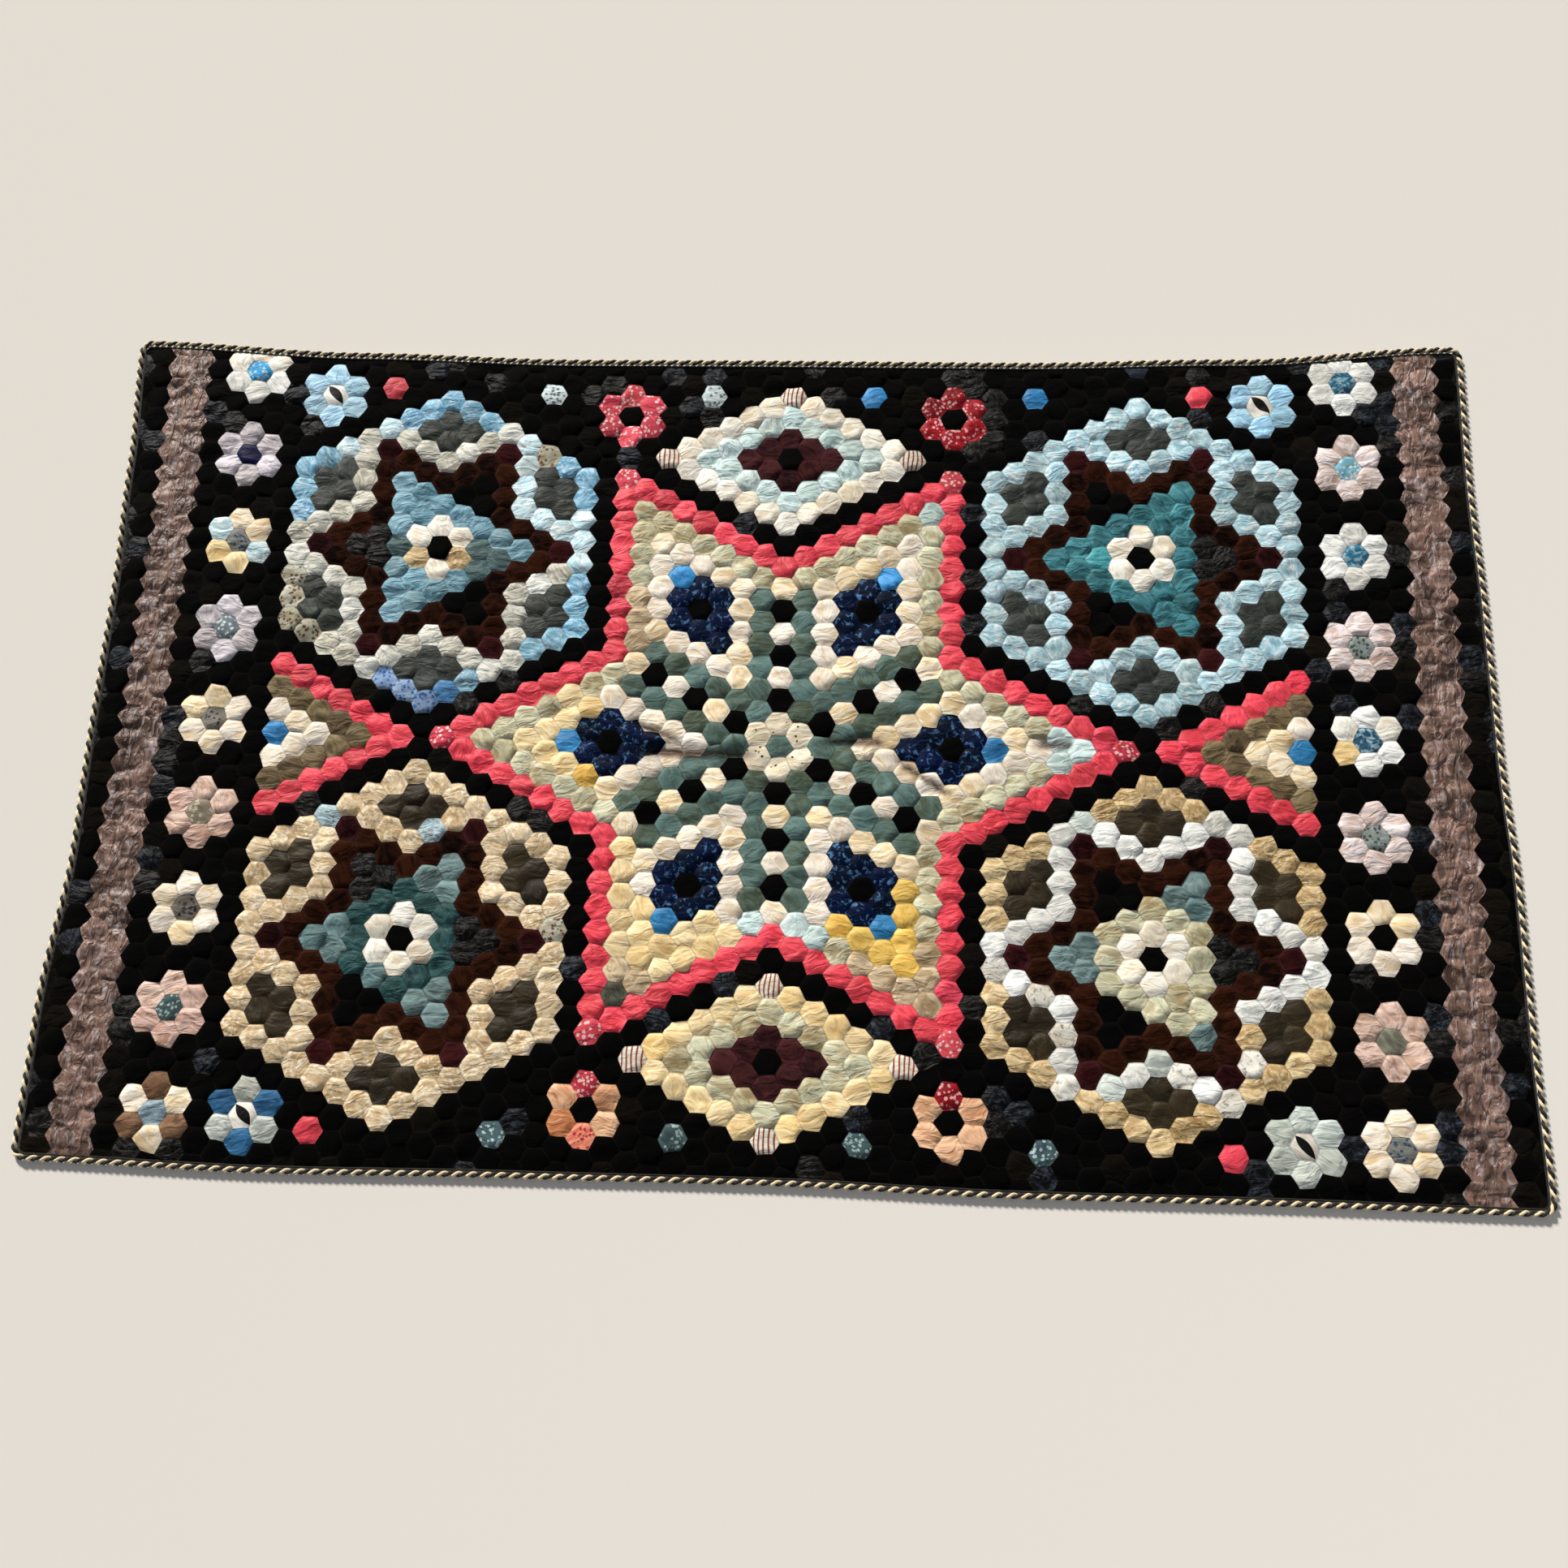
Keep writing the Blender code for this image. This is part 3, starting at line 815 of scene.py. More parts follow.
def band_crumple(points):
    """Long slanting folds down the two brown bands, and nothing elsewhere."""
    from_middle = np.abs(np.abs(points[..., 0] - STAR_MIDDLE[0]) - BAND_MIDDLE)
    in_band = ease((BAND_REACH - from_middle) / BAND_FADE)
    long = waves(points * np.array((1.0, 0.36)), 8, 9 * MM, 18 * MM, 31)
    slanting = waves(points @ np.array(((0.8, 0.25), (-0.6, 0.3))), 6, 10 * MM, 20 * MM, 33)
    return BAND_CRUMPLE * in_band * (0.6 * long + 0.5 * slanting)


def hem_height(points, inside):
    """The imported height, lowered to the hem's own thickness near the hem."""
    inland = ease(inside / HEM_SLOPE)
    return HEM_THICKNESS + (field_height(points) - HEM_THICKNESS) * inland


print(f"seams dip {SEAM_DIP / MM:.2f} mm below the turnings")

# %% [markdown]
# ## Laying all the patches
# Now the template is copied to each place in one numpy array of points: patches first, points of a
# patch second. Each patch draws its own crown, tilt and wrinkles. The whole array is then pulled out
# of true and given its heights. A later cell leaves out the faces that fall outside the hem.

# %% Draws for every patch
CROWN_SPREAD = (0.7, 1.4)
WRINKLE_SPREAD = (1.2, 3.2)
TILT = 0.06
CROWN_SHIFT = 2.0 * MM
WRINKLE_LENGTHS = np.array((26, 18, 14)) * MM
# Most wrinkles run along the quilt, as the filling has shrunk that way, give or take this angle.
WRINKLE_TURN = 0.45

patch_count, point_count = len(PLACES), len(TEMPLATE)
crowns = np.array([CLOTHS[cloth][5] for cloth in PATCH_CLOTHS]) * MM
crowns *= rng.uniform(*CROWN_SPREAD, patch_count)
wrinkles = np.array([CLOTHS[cloth][4] for cloth in PATCH_CLOTHS]) * MM
wrinkles *= rng.uniform(*WRINKLE_SPREAD, patch_count)
tilts = rng.normal(0, TILT, (patch_count, 2))
crown_middles = rng.normal(0, CROWN_SHIFT, (patch_count, 2))
wave_angles = rng.normal(math.pi / 2, WRINKLE_TURN, (patch_count, len(WRINKLE_LENGTHS)))
wave_turns = rng.uniform(0, 2 * math.pi, (patch_count, len(WRINKLE_LENGTHS)))
print(f"crowns of {crowns.min() / MM:.1f} to {crowns.max() / MM:.1f} mm")

# %% Heights within each patch
# How much of a crown is lost on its way out, how wide its rim is, and how soft the ridge is.
CROWN_FALL = 0.75
CROWN_RIM = 3.4 * MM
TURNING_SOFTNESS = 1.4 * MM

from_crown = np.linalg.norm(TEMPLATE[None] - crown_middles[:, None], axis=-1) / APOTHEM
own = crowns[:, None] * (1 - CROWN_FALL * np.clip(from_crown, 0, 1.1) ** 2)
own += np.einsum("nd,kd->nk", tilts, TEMPLATE)
for number, length in enumerate(WRINKLE_LENGTHS):
    direction = np.stack((np.cos(wave_angles[:, number]), np.sin(wave_angles[:, number])), axis=-1)
    phase = 2 * math.pi * np.einsum("nd,kd->nk", direction, TEMPLATE) / length
    own += wrinkles[:, None] * np.sin(phase + wave_turns[:, number, None])
own *= ease(INWARD / CROWN_RIM)[None]
own += TURNING_RIDGE * np.exp(-((INWARD - TURNING_WIDTH) / TURNING_SOFTNESS) ** 2)[None]
print(f"patches stand up to {own.max() / MM:.1f} mm above their seams")

# %% Points of the whole top
centres = STAR_MIDDLE + PLACES * np.array((COLUMN_STEP, HALF_ROW_STEP))
flat = centres[:, None, :] + TEMPLATE[None]
shared = -SEAM_DIP * np.exp(-(INWARD / SEAM_DIP_REACH) ** 2)
shared -= CORNER_PIT * np.exp(-(FROM_CORNER / CORNER_PIT_REACH) ** 2)
# In the limp bands the seams hardly pull the cloth down.
in_bands = np.abs(np.abs(flat[..., 0] - STAR_MIDDLE[0]) - BAND_MIDDLE) < COLUMN_STEP
shared = shared[None] * np.where(in_bands, BAND_SEAM_SHARE, 1.0)

tucked, inside = tuck_at_hem(wander(pull_out_of_true(flat)), TURNED_EDGE)
relief = own + shared + band_crumple(tucked)
relief += LUMPS * waves(tucked, 9, 40 * MM, 95 * MM, 5) + PUCKERS * puckers(tucked)
creased = fold_lines(tucked)
relief -= FOLD_LINE_DEPTH * MM * creased
relief *= ease(inside / FLAT_HEM_WIDTH)
height = np.maximum(hem_height(tucked, inside) + relief, LEAST_HEIGHT)
height -= EDGE_SINK * (1 - ease(inside / EDGE_SINK_WIDTH))
points = np.concatenate((tucked, height[..., None]), axis=-1)
print(f"heights from {points[..., 2].min() / MM:.1f} to {points[..., 2].max() / MM:.1f} mm")

# %% [markdown]
# Whipped seams hold two patches edge to edge, so their points there must be one. Points on seams
# are told apart by their place on a fine grid, and all others by their patch and number. Equal
# keys then get one number, which welds the mosaic without a search for near points.

# %% Welding the seams
finest = np.array((PATCH_SIDE / (2 * RINGS), HALF_ROW_STEP / RINGS))
grid_places = np.rint((flat - STAR_MIDDLE) / finest).astype(int)
owner = np.where(AT_SEAM[None], -1, np.arange(patch_count)[:, None])
number = np.broadcast_to(np.where(AT_SEAM, 0, np.arange(point_count)), owner.shape)
keys = np.concatenate((grid_places, owner[..., None], number[..., None]), axis=-1)
_, WELDED = np.unique(keys.reshape(-1, 4), axis=0, return_inverse=True)
WELDED = WELDED.reshape(patch_count, point_count)
print(f"{patch_count} patches, {patch_count * point_count} points, {WELDED.max() + 1} after welding")

# %% [markdown]
# The cloth's weave and its print have to turn with each patch. Most scraps were cut so that their
# folds run along the quilt, each a little its own way, and a few were cut askew. So each patch gets
# two UV maps in metres. One lays a turned and shifted piece of cloth under the template. The other
# unrolls the six seams, with the distance from the seam upwards, so that stitches and turnings can
# follow them. A third number, the shade, is one draw a patch.

# %% Cloth and seam maps
GRAINS = np.radians((0, 12, -14, 180, 168, 60))
GRAIN_SPREAD = 0.12
FIXED_GRAIN = {"striped": 0.0, "leaf": math.radians(52), "crumpled": math.radians(84)}
recipes = np.array([CLOTHS[cloth][0] for cloth in PATCH_CLOTHS])
grain = rng.choice(GRAINS, patch_count) + rng.normal(0, GRAIN_SPREAD, patch_count)
shift = rng.uniform(0, 3, (patch_count, 2))
shades = rng.uniform(0, 1, patch_count)
for recipe, angle in FIXED_GRAIN.items():
    grain[recipes == recipe] = angle
    shift[recipes == recipe] = 0
turned = np.stack((np.stack((np.cos(grain), -np.sin(grain)), -1),
                   np.stack((np.sin(grain), np.cos(grain)), -1)), 1)
cloth_uv = np.einsum("nij,kj->nki", turned, TEMPLATE) + shift[:, None]

face_middles = TEMPLATE[TEMPLATE_FACES].mean(axis=1)
sector = (face_middles @ SIDE_NORMALS.T).argmax(axis=1)
side_normal = SIDE_NORMALS[sector]
side_run = np.stack((-side_normal[:, 1], side_normal[:, 0]), axis=-1)
seam_uv = np.stack((np.einsum("fcd,fd->fc", TEMPLATE[TEMPLATE_FACES], side_run),
                    APOTHEM - np.einsum("fcd,fd->fc", TEMPLATE[TEMPLATE_FACES], side_normal)), axis=-1)
print(f"the seam map runs {2 * seam_uv[..., 0].max() / MM:.1f} mm along each seam")

# %% [markdown]
# ## How cloth is painted
# Cycles sees cloth as colour, gloss and relief. The silks are dull but lively: two close colours mixed by
# the patch's shade and a soft mottle, a pale ridge along the turning that is worn and carries a painted
# highlight, and a dark seam of painted shade with small oversewn stitches. Velvet drinks light and glows
# only at its edges, which is what the sheen of the shader is for, and its turnings are rubbed and rusty,
# with a painted highlight. Prints, stripes and marbling add a third colour. All this could be drawn on an
# image, but patterns made of nodes stay sharp close up, and they turn with each patch.

# %% One helper for all nodes
def add(tree, kind, inputs=(), output=0, **settings):
    """Adds a node with its settings and gives back one of its outputs.

    Its inputs are a list in the node's own order, or a dictionary by name or number. Each is the
    output of another node, a plain value or a hex colour.
    """
    node = tree.nodes.new(kind)
    for name, value in settings.items():
        setattr(node, name, value)
    for socket, value in inputs.items() if isinstance(inputs, dict) else enumerate(inputs):
        if isinstance(value, bpy.types.NodeSocket):
            tree.links.new(value, node.inputs[socket])
        else:
            node.inputs[socket].default_value = linear(value) if isinstance(value, str) else value
    return node.outputs[output]


# Two nodes do most of the work. A Map Range takes a value, the two ends of its range, and what
# the low and the high end give. A Mix of colours takes its share and its two colours at the first
# three of these numbers, and gives its colour at the last one.
SHARE, FIRST, SECOND, MIXED = 0, 6, 7, 2
print("a dull khaki in linear light:", [round(part, 2) for part in linear("807048")[:3]])

# %% [markdown]
# Every paint starts from where it is. The cloth map turns with the scrap, the seam map tells how
# far the seam is, and the place on the whole quilt lets long folds run on from patch to patch. The
# folds come in two kinds: sharp ridges across the whole quilt, and softer ones that belong to the
# scrap. A real silk thread is 0.1 mm, too fine to show here, so the weave is drawn at 0.9 mm, and
# the velvet's pile at 1.1 mm.

# %% Places and folds
WEAVE_PITCH = 0.9 * MM
PILE_PITCH = 1.1 * MM
STITCH_PITCH = 1.9 * MM
MOTTLE_SIZE = 9 * MM
LONG_FOLD_SIZE = 13 * MM
OWN_FOLD_SIZE = 9 * MM
# Folds are drawn out along the quilt, and in the brown bands down their length.
ALONG_QUILT = (0.42, 1.0, 1.0)
DOWN_BAND = (1.0, 0.40, 1.0)


def read_maps(tree, crumpled):
    """The places, the shade and the folds that every cloth's paint reads."""
    cloth = add(tree, "ShaderNodeUVMap", uv_map="cloth")
    seam_map = add(tree, "ShaderNodeUVMap", uv_map="seam")
    seam = add(tree, "ShaderNodeSeparateXYZ", [seam_map]).node.outputs
    place = add(tree, "ShaderNodeTexCoord", output="Object")
    long_place = add(tree, "ShaderNodeVectorMath", [place, ALONG_QUILT], operation="MULTIPLY")
    folds = add(tree, "ShaderNodeTexNoise", {"Vector": long_place, "Scale": 1 / LONG_FOLD_SIZE,
                "Detail": 3.0, "Distortion": 0.6}, noise_type="RIDGED_MULTIFRACTAL")
    # In the limp bands one fold runs on from patch to patch, slanting down the quilt.
    own_place = add(tree, "ShaderNodeVectorMath", [place, DOWN_BAND] if crumpled else [cloth, ALONG_QUILT],
                    operation="MULTIPLY")
    own_folds = add(tree, "ShaderNodeTexNoise", {"Vector": own_place, "Scale": 1 / OWN_FOLD_SIZE,
                    "Detail": 2.0, "Distortion": 1.0})
    return {
        "cloth": cloth, "place": place, "along": seam[0], "inward": seam[1], "folds": folds,
        "own_folds": add(tree, "ShaderNodeMapRange", [own_folds, 0.36, 0.64]),
        "shade": add(tree, "ShaderNodeAttribute", output="Fac", attribute_name="shade"),
        "creased": add(tree, "ShaderNodeAttribute", output="Fac", attribute_name="creased"),
    }


print(f"weave drawn at {WEAVE_PITCH / MM:.1f} mm, stitches at {STITCH_PITCH / MM:.1f} mm")

# %% [markdown]
# ## Prints, stripes, marbling and gleams
# A cotton print is small sprigs or spots stamped on a plain cloth, a stripe is woven in, and marbled silk
# was dyed in streaks. Each is a share of the third colour, made from noise, cells or bands at the size in
# millimetres that the real one has. The crumpled satin's third colour is a painted highlight on the folds
# that face the window.

# %% Shares of the third colour
def pattern_share(tree, recipe, maps):
    """Where a print, stripe, leaf or marbling shows its third colour, or a satin its painted highlight,
    from 0 to 1.
    """
    cloth = maps["cloth"]
    if recipe == "print":
        # Sprigs about 5 mm apart, each a ragged blot of about 2 mm.
        spots = add(tree, "ShaderNodeTexVoronoi", {"Vector": cloth, "Scale": 1 / (5 * MM),
                    "Randomness": 0.85}, "Distance")
        fray = add(tree, "ShaderNodeTexNoise", {"Vector": cloth, "Scale": 1 / (1.8 * MM), "Detail": 2.0})
        edge = add(tree, "ShaderNodeMath", [fray, 0.45, spots], operation="MULTIPLY_ADD")
        return add(tree, "ShaderNodeMapRange", [edge, 0.55, 0.66, 1.0, 0.0])
    if recipe == "sprig":
        # A few small sprigs, about 8 mm apart.
        spots = add(tree, "ShaderNodeTexVoronoi", {"Vector": cloth, "Scale": 1 / (8 * MM),
                    "Randomness": 0.9}, "Distance")
        return add(tree, "ShaderNodeMapRange", [spots, 0.14, 0.22, 1.0, 0.0])
    if recipe in ("flecked", "blotched"):
        # Flecks of 3 to 4 mm, pale or dark. They gather in clusters, or cover over half the cloth.
        flecks = add(tree, "ShaderNodeTexNoise", {"Vector": cloth, "Scale": 1 / (6.5 * MM),
                     "Detail": 2.5, "Distortion": 0.8})
        least = 0.56 if recipe == "flecked" else 0.46
        return add(tree, "ShaderNodeMapRange", [flecks, least, least + 0.14, 0.0, 0.75])
    if recipe == "striped":
        # Woven stripes 5.3 mm apart, each 2 mm wide.
        across = add(tree, "ShaderNodeSeparateXYZ", [cloth])
        phase = add(tree, "ShaderNodeMath", [across, 2.65 * MM], operation="PINGPONG")
        return add(tree, "ShaderNodeMapRange", [phase, 0.75 * MM, 1.15 * MM, 1.0, 0.0])
    if recipe == "leaf":
        # One dark leaf, 29 mm long and 11 mm wide, pointed at both ends.
        length, width = add(tree, "ShaderNodeSeparateXYZ", [cloth]).node.outputs[:2]
        square = add(tree, "ShaderNodeMath", [length, length], operation="MULTIPLY")
        half_width = add(tree, "ShaderNodeMath", [square, -5.5 * MM / (14.5 * MM) ** 2, 5.5 * MM],
                         operation="MULTIPLY_ADD")
        size = add(tree, "ShaderNodeMath", [width], operation="ABSOLUTE")
        gap = add(tree, "ShaderNodeMath", [size, half_width], operation="SUBTRACT")
        return add(tree, "ShaderNodeMapRange", [gap, -0.3 * MM, 0.3 * MM, 1.0, 0.0])
    if recipe == "crumpled":
        # Satin catches the window on the folds that face it, in gleams 9 mm wide and 25 mm long: a painted
        # highlight in the third colour, on top of the shader's own gloss.
        drawn_out = add(tree, "ShaderNodeVectorMath", [maps["place"], (1.0, 0.35, 1.0)],
                        operation="MULTIPLY")
        gleams = add(tree, "ShaderNodeTexNoise", {"Vector": drawn_out, "Scale": 1 / (9 * MM),
                     "Detail": 4.0, "Distortion": 1.2})
        return add(tree, "ShaderNodeMapRange", [gleams, 0.53, 0.73, 0.0, 0.70])
    # Marbling runs in soft streaks about 8 mm long.
    streaks = add(tree, "ShaderNodeTexNoise", {"Vector": cloth, "Scale": 1 / (8 * MM), "Detail": 3.0,
                  "Distortion": 1.4})
    return add(tree, "ShaderNodeMapRange", [streaks, 0.48, 0.66])


def dyed(tree, maps, recipe, main, second, third):
    """Mixes a cloth's two close colours, leaning to the deeper one in the hollows of its folds as painted
    shade, and lays its print over them.
    """
    mottle = add(tree, "ShaderNodeTexNoise", {"Vector": maps["cloth"], "Scale": 1 / MOTTLE_SIZE,
                 "Detail": 4.0, "Roughness": 0.6})
    amount = add(tree, "ShaderNodeMath", [maps["shade"], 1.1, -0.85], operation="MULTIPLY_ADD")
    amount = add(tree, "ShaderNodeMath", [mottle, 1.6, amount], operation="MULTIPLY_ADD")
    # In the hollows of the scrap's own folds the mix leans to the second, deeper colour: painted shade.
    amount = add(tree, "ShaderNodeMath", [maps["own_folds"], -0.5, amount], operation="MULTIPLY_ADD")
    amount = add(tree, "ShaderNodeMapRange", [amount, -0.1, 0.9])
    colour = add(tree, "ShaderNodeMix", {SHARE: amount, FIRST: main, SECOND: second}, MIXED,
                 data_type="RGBA")
    if not third or recipe == "velvet":
        return colour
    share = pattern_share(tree, recipe, maps)
    return add(tree, "ShaderNodeMix", {SHARE: share, FIRST: colour, SECOND: third}, MIXED,
               data_type="RGBA")


print("recipes:", sorted({facts[0] for facts in CLOTHS.values()}))

# %% [markdown]
# ## Wear and painted shade
# After a long life some scraps have faded and some have soiled. The hollows of folds, the troughs of the
# long folds and the creases where the quilt lay folded away get painted shade. Each mark multiplies the
# colour by a tint: tan on a warm light cloth, blue-grey on a cool light one, and grey-brown on the others.

# %% Marks of age and painted shade
# How strong the soiling is, and how strong the painted shade in hollows and in fold troughs is.
SOILING, HOLLOW_SHADE, FOLD_TROUGH_SHADE = 0.42, 0.45, 0.80
# Tints of soiling, of the painted shade in fold troughs, and of the painted shade along creases.
SOIL_TINT, FOLD_TROUGH_SHADE_TINT, CREASE_LINE_SHADE_TINT = "807048", "7E6038", "4A2E18"
HOLLOW_SHADE_TINTS = {"warm": "C49C5C", "cool": "8698A2", "dark": "5E5044"}


def aged_and_shaded(tree, maps, colour, tone, wrinkle):
    """Fades and soils a cloth, and paints shade into its hollows, its fold troughs and its creases."""
    # Fading is another draw, taken from the shade's later digits.
    draw = add(tree, "ShaderNodeMath", [maps["shade"], 17.3], operation="MULTIPLY")
    draw = add(tree, "ShaderNodeMath", [draw], operation="FRACT")
    depth = min(1.0, 4 * wrinkle)
    marks = (
        (add(tree, "ShaderNodeMapRange", [draw, 0.0, 1.0, 0.0, SOILING]), SOIL_TINT),
        # Painted shade in the hollows of the scrap's own folds.
        (add(tree, "ShaderNodeMapRange", [maps["own_folds"], 0.0, 0.6, HOLLOW_SHADE * depth, 0.0]),
         HOLLOW_SHADE_TINTS[tone]),
        # Painted shade in the troughs of the long folds.
        (add(tree, "ShaderNodeMapRange", [maps["folds"], 0.66, 0.92, 0.0, FOLD_TROUGH_SHADE * depth]), FOLD_TROUGH_SHADE_TINT),
        # Painted shade along the creases where the quilt lay folded.
        (maps["creased"], CREASE_LINE_SHADE_TINT),
    )
    for share, tint in marks:
        colour = add(tree, "ShaderNodeMix", {SHARE: share, FIRST: colour, SECOND: tint}, MIXED,
                     data_type="RGBA", blend_type="MULTIPLY")
    return colour


print("tints of hollows:", HOLLOW_SHADE_TINTS)

# %% [markdown]
# ## Turnings and stitches
# Each scrap was folded over its paper, so a ridge of several layers runs along every seam. It is painted
# paler, as wear and as a painted highlight where it stands up into the light, and on velvet it takes the
# rusty third colour in the same way. The seam beside it is in shadow, and its corners, where three turnings
# are folded away, are darker still: both are painted shade. Short slanted stitches bite into each turning.
# Real ones lie about a millimetre apart, too fine to show, so they are drawn at 1.9 mm. All four are read
# off the seam map, which is why that map was unrolled.

# %% Seams and their stitches
RIDGE_WEAR_AND_HIGHLIGHT, RUBBED_AND_HIGHLIT_SHARE = 0.30, 0.45
SEAM_DARKNESS, CORNER_DARKNESS, STITCH_STRENGTH = 0.48, 0.50, 0.35
# The limp bands are hardly drawn in at their seams, so those are paler.
BAND_SEAM_DARKNESS = 0.4
SEAM_TINTS = {"warm": "80602E", "cool": "4E5C66", "dark": "1A120C"}
THREAD_ON_VELVET = "2A2622"


def stitches(tree, maps):
    """1 on the short slanted stitches over each seam, and 0 elsewhere."""
    slant = add(tree, "ShaderNodeMath", [maps["inward"], 0.9, maps["along"]], operation="MULTIPLY_ADD")
    beat = add(tree, "ShaderNodeMath", [slant, STITCH_PITCH / 2], operation="PINGPONG")
    beat = add(tree, "ShaderNodeMapRange", [beat, 0.22 * MM, 0.42 * MM, 1.0, 0.0])
    bite = add(tree, "ShaderNodeMapRange", [maps["inward"], 0.55 * MM, 0.95 * MM, STITCH_STRENGTH, 0.0])
    return add(tree, "ShaderNodeMath", [beat, bite], operation="MULTIPLY")


def seamed(tree, maps, colour, recipe, tone, main, third, stitch):
    """Pales the ridge over the turning as wear and painted highlight, paints shade into the seam and its
    corners, and sews the stitches.
    """
    # The ridge over the turning is painted paler: partly wear, partly a painted highlight where it stands
    # up into the light.
    ridge = add(tree, "ShaderNodeMapRange", [maps["inward"], 1.2 * MM, 4.2 * MM, RIDGE_WEAR_AND_HIGHLIGHT, 0.0])
    # On velvet the ridge takes the rusty third colour instead, as rubbed pile and painted highlight.
    if recipe == "velvet" and third:
        rubbed = add(tree, "ShaderNodeMath", [ridge, RUBBED_AND_HIGHLIT_SHARE], operation="MULTIPLY")
        colour = add(tree, "ShaderNodeMix", {SHARE: rubbed, FIRST: colour, SECOND: third}, MIXED,
                     data_type="RGBA")
    else:
        colour = add(tree, "ShaderNodeMix", {SHARE: ridge, FIRST: colour, SECOND: "FFFFFF"}, MIXED,
                     data_type="RGBA", blend_type="SOFT_LIGHT")
    # The seam and its corners are darkened as painted shade, less in the limp bands.
    darkness = BAND_SEAM_DARKNESS if recipe == "crumpled" else 1.0
    seam = add(tree, "ShaderNodeMapRange",
               [maps["inward"], 0.1 * MM, 1.5 * MM, SEAM_DARKNESS * darkness, 0.0])
    # How far a point is from the corner at the nearer end of its seam, less when it lies inward.
    from_end = add(tree, "ShaderNodeMath", [maps["along"]], operation="ABSOLUTE")
    reach = add(tree, "ShaderNodeMath", [maps["inward"], 1.25, PATCH_SIDE / 2], operation="MULTIPLY_ADD")
    from_corner = add(tree, "ShaderNodeMath", [reach, from_end], operation="SUBTRACT")
    corner = add(tree, "ShaderNodeMapRange",
                 [from_corner, 0.6 * MM, 2.9 * MM, CORNER_DARKNESS * darkness, 0.0])
    for share in (seam, corner):
        colour = add(tree, "ShaderNodeMix", {SHARE: share, FIRST: colour, SECOND: SEAM_TINTS[tone]},
                     MIXED, data_type="RGBA", blend_type="MULTIPLY")
    thread = THREAD_ON_VELVET if recipe == "velvet" else main
    return add(tree, "ShaderNodeMix", {SHARE: stitch, FIRST: colour, SECOND: thread}, MIXED,
               data_type="RGBA")


print("tints of seams:", SEAM_TINTS)

# %% [markdown]
# ## Relief and gloss
# The mesh holds the crowns and the larger wrinkles. Finer ones, the weave, the stitches and the
# velvet's pile are bump, in real metres, so that a bump of 0.1 mm is 0.1 mm. Silk is glossier than
# cotton, but an old one is dull. Satin gleams on its folds. Velvet has hardly any gloss, only a
# soft sheen from fibres that stand up. Gloss is the shader's specular level, one number a cloth.

# %% Relief, gloss and the finished cloths
# How deep both kinds of fold are, as multiples of the cloth's wrinkles.
FOLD_BUMP, OWN_FOLD_BUMP = 5.0, 4.0
WEAVE_BUMP, STITCH_BUMP, PILE_BUMP = 0.018 * MM, 0.16 * MM, 0.12 * MM
GLOSS = {"velvet": 0.04, "flecked": 0.04, "satin": 0.16, "crumpled": 0.34}
PLAIN_GLOSS, LIGHT_SILK_GLOSS = 0.10, 0.28
ROUGHNESS = {"velvet": 0.95, "crumpled": 0.46}
PLAIN_ROUGHNESS = 0.55
# The sheen of rubbed velvet, of black velvet, and of every other cloth.
RUBBED_SHEEN, BLACK_SHEEN, PLAIN_SHEEN, SHEEN_ROUGHNESS = 0.25, 0.02, 0.06, 0.4
# A cloth is light when its linear red, green and blue add up to more than the first number, and
# warm when its red is more than its blue times the second.
LEAST_LIGHT, LEAST_WARMTH = 0.9, 1.02


def weave(tree, place, pitch, wobble):
    """The two sets of threads of a plain weave."""
    wave = {"Vector": place, "Scale": 0.5 / pitch, "Distortion": wobble}
    return [add(tree, "ShaderNodeTexWave", wave, "Fac", bands_direction=way) for way in "XY"]


def raised(tree, layers):
    """Adds up layers, each a share and its rise in metres, as the height of a bump."""
    relief = 0.0
    for share, rise in layers:
        relief = add(tree, "ShaderNodeMath", [share, rise, relief], operation="MULTIPLY_ADD")
    return add(tree, "ShaderNodeBump", {"Strength": 1.0, "Distance": 1.0, "Height": relief})


